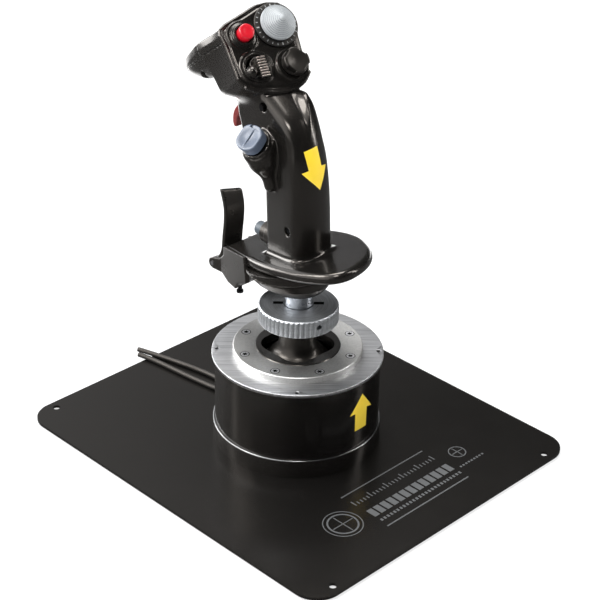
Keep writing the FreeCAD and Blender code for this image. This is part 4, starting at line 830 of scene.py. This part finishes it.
def lathe(name, profile, place, body, finish, stands_for=(), segments=96, hollow=False):
    """Turn a (radius, height) outline in mm around a local axis into a closed mesh."""
    shape = bmesh.new()
    rings = [circle(shape, place, radius, height, segments if radius > 1e-6 else 1)
             for radius, height in profile]
    join_rings(shape, zip(rings, [*rings[1:], rings[0]] if hollow else rings[1:]))
    bmesh.ops.recalc_face_normals(shape, faces=shape.faces[:])
    piece(name, shape, body, finish, stands_for)


def add_ring(shape, x, y, outer, inner, low, tall, place=WORLD):
    """A thin closed flat ring."""
    corners = ((outer, low), (outer, low + tall), (inner, low + tall), (inner, low))
    loops = [circle(shape, place, radius, height, 64, x, y) for radius, height in corners]
    join_rings(shape, zip(loops, [*loops[1:], loops[0]]))


def add_prism(shape, corners, lift):
    """A thin closed slab from flat corners in mm and a lift."""
    low = [shape.verts.new(Vector(c) * MM) for c in corners]
    high = [shape.verts.new((Vector(c) + lift) * MM) for c in corners]
    shape.faces.new(low[::-1])
    shape.faces.new(high)
    join_rings(shape, [(low, high)])


def add_bar(shape, place, degrees, near, far, half, level, tall):
    """A thin bar that runs outwards from a local axis."""
    turn = place @ Matrix.Rotation(math.radians(degrees), 4, "Z")
    flat = ((near, -half), (far, -half), (far, half), (near, half))
    corners = [turn @ Vector((a, b, level)) for a, b in flat]
    add_prism(shape, corners, turn.to_3x3() @ Vector((0, 0, tall)))


def eased(profile, radius=0.4, steps=3, closed=False):
    """Round the corners of an outline."""
    made = []
    count = len(profile)
    for i, corner in enumerate(profile):
        if not closed and i in (0, count - 1):
            made.append(corner)
            continue
        here = np.array(corner, float)
        ways = [np.array(profile[k % count], float) - here for k in (i - 1, i + 1)]
        reach = min(radius, *(np.linalg.norm(way) * 0.45 for way in ways))
        start, end = (here + way / np.linalg.norm(way) * reach for way in ways)
        for j in range(steps + 1):
            t = j / steps
            made.append(tuple((1 - t) ** 2 * start + 2 * t * (1 - t) * here + t * t * end))
    return made


def ring_profile(inner, outer, low, high, radius=0.35):
    return eased([(inner, low), (outer, low), (outer, high), (inner, high)], radius, 3, True)


STEM_END = -9.4


def build_trim():
    """Stepped cone with concentric grip ridges and rings of painted shade in the grooves between them, on a
    black ring with tick marks.
    """
    ridges, samples = 10, 120

    def cone(part):
        return 11.5 - 10.2 * part, 5.4 + 7.8 * part ** 1.1

    profile = [(0, STEM_END), (2.6, STEM_END), (2.6, 3.4), (11.6, 3.4), (12.0, 3.8), (12.0, 5.0), (11.8, 5.5)]
    for i in range(samples + 1):
        radius, height = cone(i / samples)
        phase = (ridges * i / samples) % 1.0
        profile.append((radius, height + 0.42 * (1.0 - phase) * min(1.0, 6.0 * phase)))
    lathe("trim_hat_skin", [*profile, (0, 13.8)], TRIM, "trim_hat", "light_grey", ("trim_hat",), 128)
    collar("trim_ring", ring_profile(8.8, 15.2, 0.05, 1.5, 0.5), TRIM, "matte_black")
    # Painted shade: darker grey rings laid in the grooves between the ridges.
    shade_rings = bmesh.new()
    for i in range(1, ridges):
        radius, height = cone(i / ridges)
        add_ring(shade_rings, 0, 0, radius + 0.05, radius - 0.3, height - 0.1, 0.32, TRIM)
    piece("trim_groove_shade", shade_rings, "trim_hat", "groove_shade_grey")
    marks = bmesh.new()
    for i in range(24):
        near, half = (13.0, 0.22) if i % 6 else (12.5, 0.4)
        add_bar(marks, TRIM, 15.0 * i, near, 14.4, half, 1.46, 0.12)
    piece("trim_ring_marks", marks, "stick", "print_white")


def collar(name, profile, place, finish):
    """A turned ring on the stick that takes the place of the CAD's."""
    lathe(f"{name}_skin", profile, place, "stick", finish, (name,), hollow=True)


def build_buttons():
    profile = [(5.85, 0.05), (9.0, 0.05), (9.0, 1.5), (8.1, 1.7), (8.1, 2.7), (7.1, 2.9), (7.1, 4.0),
               (5.85, 4.0)]
    collar("release_collar", eased(profile, 0.3, 3, True), RELEASE, "gloss_black")
    profile = [(0, -7.0), (4.0, -7.0), (4.0, 2.0), (5.2, 2.0), (5.2, 9.2), (3.2, 9.4), (0, 9.1)]
    lathe("release_button_skin", eased(profile, 1.2, 6), RELEASE, "release_button", "red",
          ("release_button",))
    collar("display_collar", ring_profile(8.1, 9.9, 0.05, 2.0, 0.7), DISPLAY, "gloss_black")
    front = plane_turn((1, 0, 0), (0, 0, -1), (0, 0, FRONT_BUTTON))
    profile = [(5.25, 21.6), (8.0, 21.6), (8.0, 26.4), (7.6, 27.0), (7.6, 31.0), (6.9, 31.9), (5.25, 31.9)]
    collar("steering_collar", eased(profile, 0.5, 3, True), front, "satin_black")
    profile = [(0, 20.5), (4.8, 20.5), (4.8, 39.0), (0, 39.0)]
    lathe("steering_button_skin", eased(profile, 0.9, 4), front, "steering_button", "slate",
          ("steering_button",))


BAR_SHIFT = 1.2


def display_field(points):
    """Glossy ball beside a ribbed bar, on one tilting dish."""
    base = disc(points, 6.1, 2.0, 4.4, 0.4)
    knob = np.maximum(ball(points, (-5.7, -3.2, 3.7), 3.9), 3.3 - points[:, 2])
    bar = block(points, (2.8, 7.0, 1.6), (BAR_SHIFT, -2.0, 5.6), 0.4)
    stem = disc(points, 2.6, STEM_END, 3.0, 0.2)
    return np.minimum(np.minimum(blend_min(base, knob, 0.8), stem), bar)


def rib_field(points):
    """Eight pale cross ribs on the bar."""
    ribs = np.full(len(points), 1e3)
    for i in range(8):
        ribs = np.minimum(ribs, block(points, (2.9, 0.5, 1.0), (BAR_SHIFT, -8.3 + 1.8 * i, 7.2), 0.3))
    return ribs


def target_field(points):
    """Broad cap with four shallow notches and a dished top."""
    cap = blend_max(disc(points, 9.0, 2.6, 8.4, 0.9), -ball(points, (0.0, 0.0, 26.8), 19.2), 0.8)
    for angle in (45.0, 135.0, 225.0, 315.0):
        out, aside = turned(points[:, 0], points[:, 1], angle)
        cap = blend_max(cap, -most(7.4 - out, np.abs(aside) - 3.0, 4.2 - points[:, 2]), 0.7)
    skirt = disc(points, 6.4, 1.8, 4.0, 0.5)
    stem = disc(points, 2.6, STEM_END, 4.0, 0.2)
    return np.minimum(blend_min(cap, skirt, 0.6), stem)


def side_field(points):
    """Round blue-grey cap: two flats, a shallow dish, a central ridge and a notch in the upper rim."""
    x, y, z = points.T
    cap = slab(blend_max(np.abs(y) - 8.3, np.hypot(x, y) - 9.3, 1.0), z, -3.9, 4.2, 1.0)
    cap = blend_max(cap, -ball(points, (0.0, 0.0, 27.2), 24.0), 0.5)
    cap = blend_max(cap, -most(2.6 - z, np.abs(y) - 3.6, 6.6 - x), 0.5)
    ridge = block(points, (6.6, 0.55, 0.8), (0.0, 0.0, 3.4), 0.4)
    skirt = disc(points, 7.6, -4.6, -2.0, 0.5)
    stem = disc(points, 2.6, -13.4, 0.0, 0.2)
    return np.minimum(np.minimum(blend_min(cap, ridge, 0.5), skirt), stem)


def in_frame(shape_field, place):
    return lambda points: shape_field(local(points, place))


TRIGGER_SIDE = [
    (44.5, 238.5), (49.0, 238.5), (55.0, 235.0), (59.5, 229.0), (60.6, 222.0), (59.2, 218.0),
    (56.6, 218.4), (56.2, 222.5), (54.0, 228.0), (49.5, 232.5), (44.5, 233.5),
]


def trigger_field(points):
    x, y, z = points.T
    blade = slab(polygon(y, z, spline(TRIGGER_SIDE)), x, -4.6, 4.6, 1.3)
    return np.maximum(blade, 1.6 - np.hypot(y - 47.0, z - 236.5))


def build_hats():
    for name, field, place, low, high, step, body, finish, also in (
            ("display_hat_skin", display_field, DISPLAY, (-11, -11, -10), (9, 9, 9), 0.28, "display_hat",
             "gloss_black", ("display_hat",)),
            ("display_ribs", rib_field, DISPLAY, (-3, -10, 5.5), (6, 8, 9), 0.2, "display_hat",
             "rib_metal", ()),
            ("target_hat_skin", target_field, TARGET, (-10, -10, -10), (10, 10, 10), 0.28, "target_hat",
             "satin_black", ("target_hat",)),
            ("side_hat_skin", side_field, SIDE, (-11, -11, -14), (11, 11, 6), 0.28, "side_hat",
             "blue_grey", ("side_hat",))):
        sculpt(name, in_frame(field, place), place, low, high, step, body, finish, also)
    sculpt("trigger_skin", trigger_field, WORLD, (-6, 43, 215), (6, 63, 240), 0.35, "trigger",
           "trigger_red", ("trigger",))


# ---- lock ring, screws and markings

NUT_PROFILE = [(17.95, 93.2), (26.2, 93.2), (27.6, 94.6), (27.6, 104.9), (26.6, 106.0), (10.2, 106.0),
               (10.2, 104.6), (17.95, 104.6)]
SLOTS_TURN, HOLE_TURN = -44.5, -104.0


def nut_field(points):
    """Fluted lock ring with two spanner slots and a tommy-bar hole."""
    x, y, z = points.T
    radius = np.hypot(x, y)
    share = 2 * math.pi / 50
    angle = (np.arctan2(y, x) % share) - share / 2
    flute = np.hypot(radius * np.sin(angle), radius * np.cos(angle) - 27.9) - 0.85
    body = blend_max(polygon(radius, z, NUT_PROFILE), -flute, 0.25)
    along, aside = turned(x, y, SLOTS_TURN)
    slot = most(np.abs(aside) - 1.3, np.abs(np.abs(along) - 14.1) - 3.0, 104.0 - z)
    out, aside = turned(x, y, HOLE_TURN)
    hole = np.maximum(np.hypot(aside, z - 100.5) - 1.9, 20.0 - out)
    return most(body, -slot, -hole)


SCREW_CIRCLE = 38.7


def star_screws():
    """Eight flat screw heads, level with the disc, each with a six-lobed socket and a ring round the head in
    painted shade.
    """
    heads, socket_shade = bmesh.new(), bmesh.new()
    count = 48
    for k in range(8):
        middle = math.radians(22.5 + 45 * k)
        centre = SCREW_CIRCLE * Vector((math.cos(middle), math.sin(middle), 0))
        # The dark rings round the heads and the dark lobed sockets are painted shade in the recesses.
        for shape, radius, lobe, level, tall in ((socket_shade, 3.35, 0, 73.6, 0.31), (heads, 2.8, 0, 73.7, 0.27),
                                                 (socket_shade, 1.5, 0.4, 73.75, 0.25)):
            outline = []
            for angle in (2 * math.pi * i / count for i in range(count)):
                reach = radius + lobe * math.cos(6 * angle + k)
                outline.append(centre + Vector((reach * math.cos(angle), reach * math.sin(angle), level)))
            add_prism(shape, outline, Vector((0, 0, tall)))
    piece("cover_screw_heads", heads, "base", "screw_steel", ("cover_screws",))
    piece("cover_screw_socket_shade", socket_shade, "base", "painted_shade_black")


def conform(name, corners, step, onto, body, finish):
    """A thin closed skin: a flat outline cut into strips and laid onto a surface."""
    flat = bmesh.new()
    flat.faces.new([flat.verts.new((u, v, 0)) for u, v in corners])
    for axis in (0, 1):
        values = [corner[axis] for corner in corners]
        for level in np.arange(min(values) + step[axis] / 2, max(values), step[axis]):
            normal = Vector((1, 0, 0)) if axis == 0 else Vector((0, 1, 0))
            bmesh.ops.bisect_plane(flat, geom=flat.verts[:] + flat.edges[:] + flat.faces[:], dist=1e-6,
                                   plane_co=normal * float(level), plane_no=normal)
    flat.verts.index_update()
    spots = np.array([vert.co[:2] for vert in flat.verts])
    shape = bmesh.new()
    front, back = ([shape.verts.new(Vector(p) * MM) for p in onto(spots, lift)] for lift in (0.1, -0.25))
    for face in flat.faces:
        ids = [vert.index for vert in face.verts]
        shape.faces.new([front[i] for i in ids])
        shape.faces.new([back[i] for i in ids[::-1]])
    for edge in flat.edges:
        if edge.is_boundary:
            a, b = (vert.index for vert in edge.verts)
            shape.faces.new((front[a], front[b], back[b], back[a]))
    bmesh.ops.recalc_face_normals(shape, faces=shape.faces[:])
    flat.free()
    piece(name, shape, body, finish)


def onto_housing(spots, lift):
    """Azimuth in degrees and height, laid on the round housing."""
    angle = np.radians(spots[:, 0])
    reach = 57.0 + lift
    return np.stack([reach * np.cos(angle), reach * np.sin(angle), spots[:, 1]], 1)


def onto_grip(spots, lift):
    """Sideways and upwards from the middle of the grip arrow, laid on the grip."""
    points = ARROW_SPOT + spots[:, :1] * ARROW_ASIDE + spots[:, 1:] * ARROW_UP
    for _ in range(8):
        slope = slopes(casting, points, 0.1)
        strength = np.maximum((slope * slope).sum(1), 0.2)
        points = points - (casting(points) - lift)[:, None] * slope / strength[:, None]
    return points


BASE_ARROW = [(-84.7, 57.5), (-72.7, 42.6), (-79.0, 44.7), (-79.3, 29.7), (-91.1, 30.3), (-91.2, 44.2),
              (-96.0, 44.2)]


def build_markings():
    sculpt("locking_nut_skin", nut_field, WORLD, (-29, -29, 92), (29, 29, 107.5), 0.45, "nut",
           "nut_metal", ("locking_nut",))
    # Painted shade: near-black bars laid over the spanner slots so they read as dark recesses.
    slot_shade = bmesh.new()
    for near, far in ((10.35, 17.2), (-17.2, -10.35)):
        add_bar(slot_shade, WORLD, SLOTS_TURN, near, far, 1.7, 104.7, 1.34)
    piece("nut_slot_shade", slot_shade, "nut", "painted_shade_black")
    star_screws()
    # Painted highlight: a pale metal ring on the foot ring's top edge stands in for the bright reflection
    # along its bevel.
    lathe("foot_edge_highlight", ring_profile(57.1, 58.45, 15.3, 16.75, 0.5), WORLD, "base", "edge_highlight_metal", hollow=True)
    conform("base_arrow", BASE_ARROW, (1.5, 50.0), onto_housing, "base", "yellow")
    conform("grip_arrow", GRIP_ARROW, (1.5, 1.5), onto_grip, "stick", "yellow")
    print_plate()


def print_plate():
    """Rules, scales and cross-hairs on the plate, in thin grey ink."""
    flat = bmesh.new()
    level, ink, left = 2.98, 0.06, -33.6

    def bar(x0, y0, x1, y1):
        middle = Matrix.Translation((0, (y0 + y1) / 2, 0))
        add_bar(flat, middle, 0.0, x0, x1, (y1 - y0) / 2, level, ink)

    for y in (-78.2, -120.2):
        bar(-35.2, y - 0.5, 45.4, y + 0.5)
    for i in range(26):
        x = left + 3.1 * i
        bar(x - 0.45, -91.0, x + 0.45, -88.0 if i % 5 else -85.6)
        bar(x, -114.2, x + 1.7, -111.8)
    for i in range(13):
        bar(left + 6.2 * i, -108.0, left + 6.2 * i + 4.6, -99.6)
    for i in range(9):
        bar(50.0 + 2.8 * i, -109.8, 51.6 + 2.8 * i, -108.2)
    for x, y, rings in ((-54.6, -98.8, ((13.6, 12.9), (10.8, 9.6))), (62.3, -95.5, ((6.4, 5.6),))):
        for outer, inner in rings:
            add_ring(flat, x, y, outer, inner, level, ink)
        reach = rings[-1][1] - 0.6
        bar(x - reach, y - 0.35, x + reach, y + 0.35)
        bar(x - 0.35, y + 0.5, x + 0.35, y + reach)
        bar(x - 0.35, y - reach, x + 0.35, y - 0.5)
    piece("plate_print", flat, "base", "print_grey")


# Middle of the arrow on the back of the grip, its directions, and its outline from there.
ARROW_SPOT = np.array([0.0, -13.0, 210.0])
ARROW_ASIDE = np.array([1.0, 0.0, 0.0])
ARROW_UP = np.array([0.0, 0.28, 0.96])
GRIP_ARROW = [(-7.6, 13.4), (3.2, 14.4), (4.2, 1.2), (9.5, 0.3), (1.1, -14.5), (-11.8, -0.2), (-6.3, 0.6)]


finish_nodes()
build_casting()
build_trim()
build_buttons()
build_hats()
build_markings()


def build_floor():
    floor = bpy.data.meshes.new("floor")
    reach, ground = 6.0, -0.0004
    corners = [(-reach, -reach), (reach, -reach), (reach, reach), (-reach, reach)]
    floor.from_pydata([(x, y, ground) for x, y in corners], [], [(0, 1, 2, 3)])
    thing = bpy.data.objects.new("floor", floor)
    bpy.context.scene.collection.objects.link(thing)
    floor.materials.append(paper_material())


def paper_material():
    """Pale paper; glossy surfaces see it bright behind the object and dim on the left."""
    recipe = Recipe("floor_paper")
    cloud = recipe.span(recipe.noise(30.0), 0.0, 1.0)
    recipe.put({"Base Color": recipe.mix(cloud, (0.93, 0.93, 0.93), (0.9, 0.9, 0.9)), "Roughness": 0.9})
    paper = recipe.shader.outputs[0]
    x, y, _ = recipe.add("ShaderNodeSeparateXYZ",
                         recipe.add("ShaderNodeNewGeometry").outputs["Position"]).outputs
    both = recipe.math("MULTIPLY", recipe.span(x, 0.0, 1.0, -0.06, 0.02), recipe.span(y, 0.0, 1.0, 0.15, 0.3))
    dim = recipe.add("ShaderNodeEmission", None, recipe.span(both, 0.22, 3.4, 0.0, 1.0)).outputs[0]
    path = recipe.add("ShaderNodeLightPath").outputs
    mirrored = recipe.add("ShaderNodeMixShader", path["Is Glossy Ray"], paper, dim).outputs[0]
    glow = recipe.add("ShaderNodeEmission", (1.0, 1.0, 1.0, 1.0), 1.0).outputs[0]
    seen = recipe.add("ShaderNodeMixShader", 0.7, paper, glow).outputs[0]
    shown = recipe.add("ShaderNodeMixShader", path["Is Camera Ray"], mirrored, seen).outputs[0]
    recipe.feed(shown, recipe.output.inputs["Surface"])
    return recipe.material


def build_world():
    """A soft room, brighter behind the object on the left; the camera sees an even background."""
    world = bpy.data.worlds.new("studio")
    bpy.context.scene.world = world
    nodes = Nodes(world)
    way = nodes.add("ShaderNodeTexCoord").outputs["Generated"]
    toward = nodes.add("ShaderNodeVectorMath", way, (-0.62, 0.70, 0.35), operation="DOT_PRODUCT")
    ramp = nodes.add("ShaderNodeMapRange", toward.outputs["Value"], 0.06, 0.8, 0.02, 1.9,
                     interpolation_type="SMOOTHSTEP")
    around = nodes.add("ShaderNodeBackground", (0.97, 0.98, 1.0, 1), ramp.outputs["Result"]).outputs[0]
    seen = nodes.add("ShaderNodeBackground").outputs[0]
    camera_ray = nodes.add("ShaderNodeLightPath").outputs["Is Camera Ray"]
    mixed = nodes.add("ShaderNodeMixShader", camera_ray, around, seen).outputs[0]
    nodes.add("ShaderNodeOutputWorld", mixed)
    bpy.context.scene.view_settings.view_transform = "Standard"


def build_lights():
    aim = (0, 0, 0.15)
    for name, place, aim, size, power in (
            ("key", (-1.3, 0.9, 1.7), aim, (0.9, 0.9), 30),
            ("left_strip", (-1.0, 1.2, 1.0), aim, (0.2, 1.3), 9),
            ("top", (0.4, 0.5, 1.9), aim, (1.1, 1.1), 36),
            ("front_top", (-0.65, -0.65, 1.65), aim, (0.4, 0.4), 9),
            ("nose_box", (-0.5, 1.6, 0.42), (0, 0.05, 0.25), (0.8, 0.6), 12),
            ("right_strip", (1.15, -0.95, 0.9), aim, (0.14, 1.5), 10)):
        data = bpy.data.lights.new(name, "AREA")
        data.shape = "RECTANGLE"
        data.size, data.size_y = size
        data.energy = power
        thing = bpy.data.objects.new(name, data)
        thing.location = place
        thing.rotation_euler = (Vector(aim) - Vector(place)).to_track_quat("-Z", "Y").to_euler()
        bpy.context.scene.collection.objects.link(thing)


def build_camera():
    """Three-quarter view from behind the user's left, with a long lens."""
    azimuth, elevation, roll = math.radians(-45.16), math.radians(29.39), math.radians(1.07)
    aim, distance = Vector((0.0, -0.00135, 0.10877)), 1.16183
    away = Vector((math.sin(azimuth) * math.cos(elevation), -math.cos(azimuth) * math.cos(elevation),
                   math.sin(elevation)))
    data = bpy.data.cameras.new("camera")
    data.lens, data.sensor_width = 103.47, 36.0
    thing = bpy.data.objects.new("camera", data)
    level = Vector((math.cos(azimuth), math.sin(azimuth), 0.0))
    right = level * math.cos(roll) + away.cross(level) * math.sin(roll)
    thing.matrix_world = plane_turn(right, away.cross(right), aim + away * distance)
    bpy.context.scene.collection.objects.link(thing)
    bpy.context.scene.camera = thing


build_floor()
build_world()
build_lights()
build_camera()
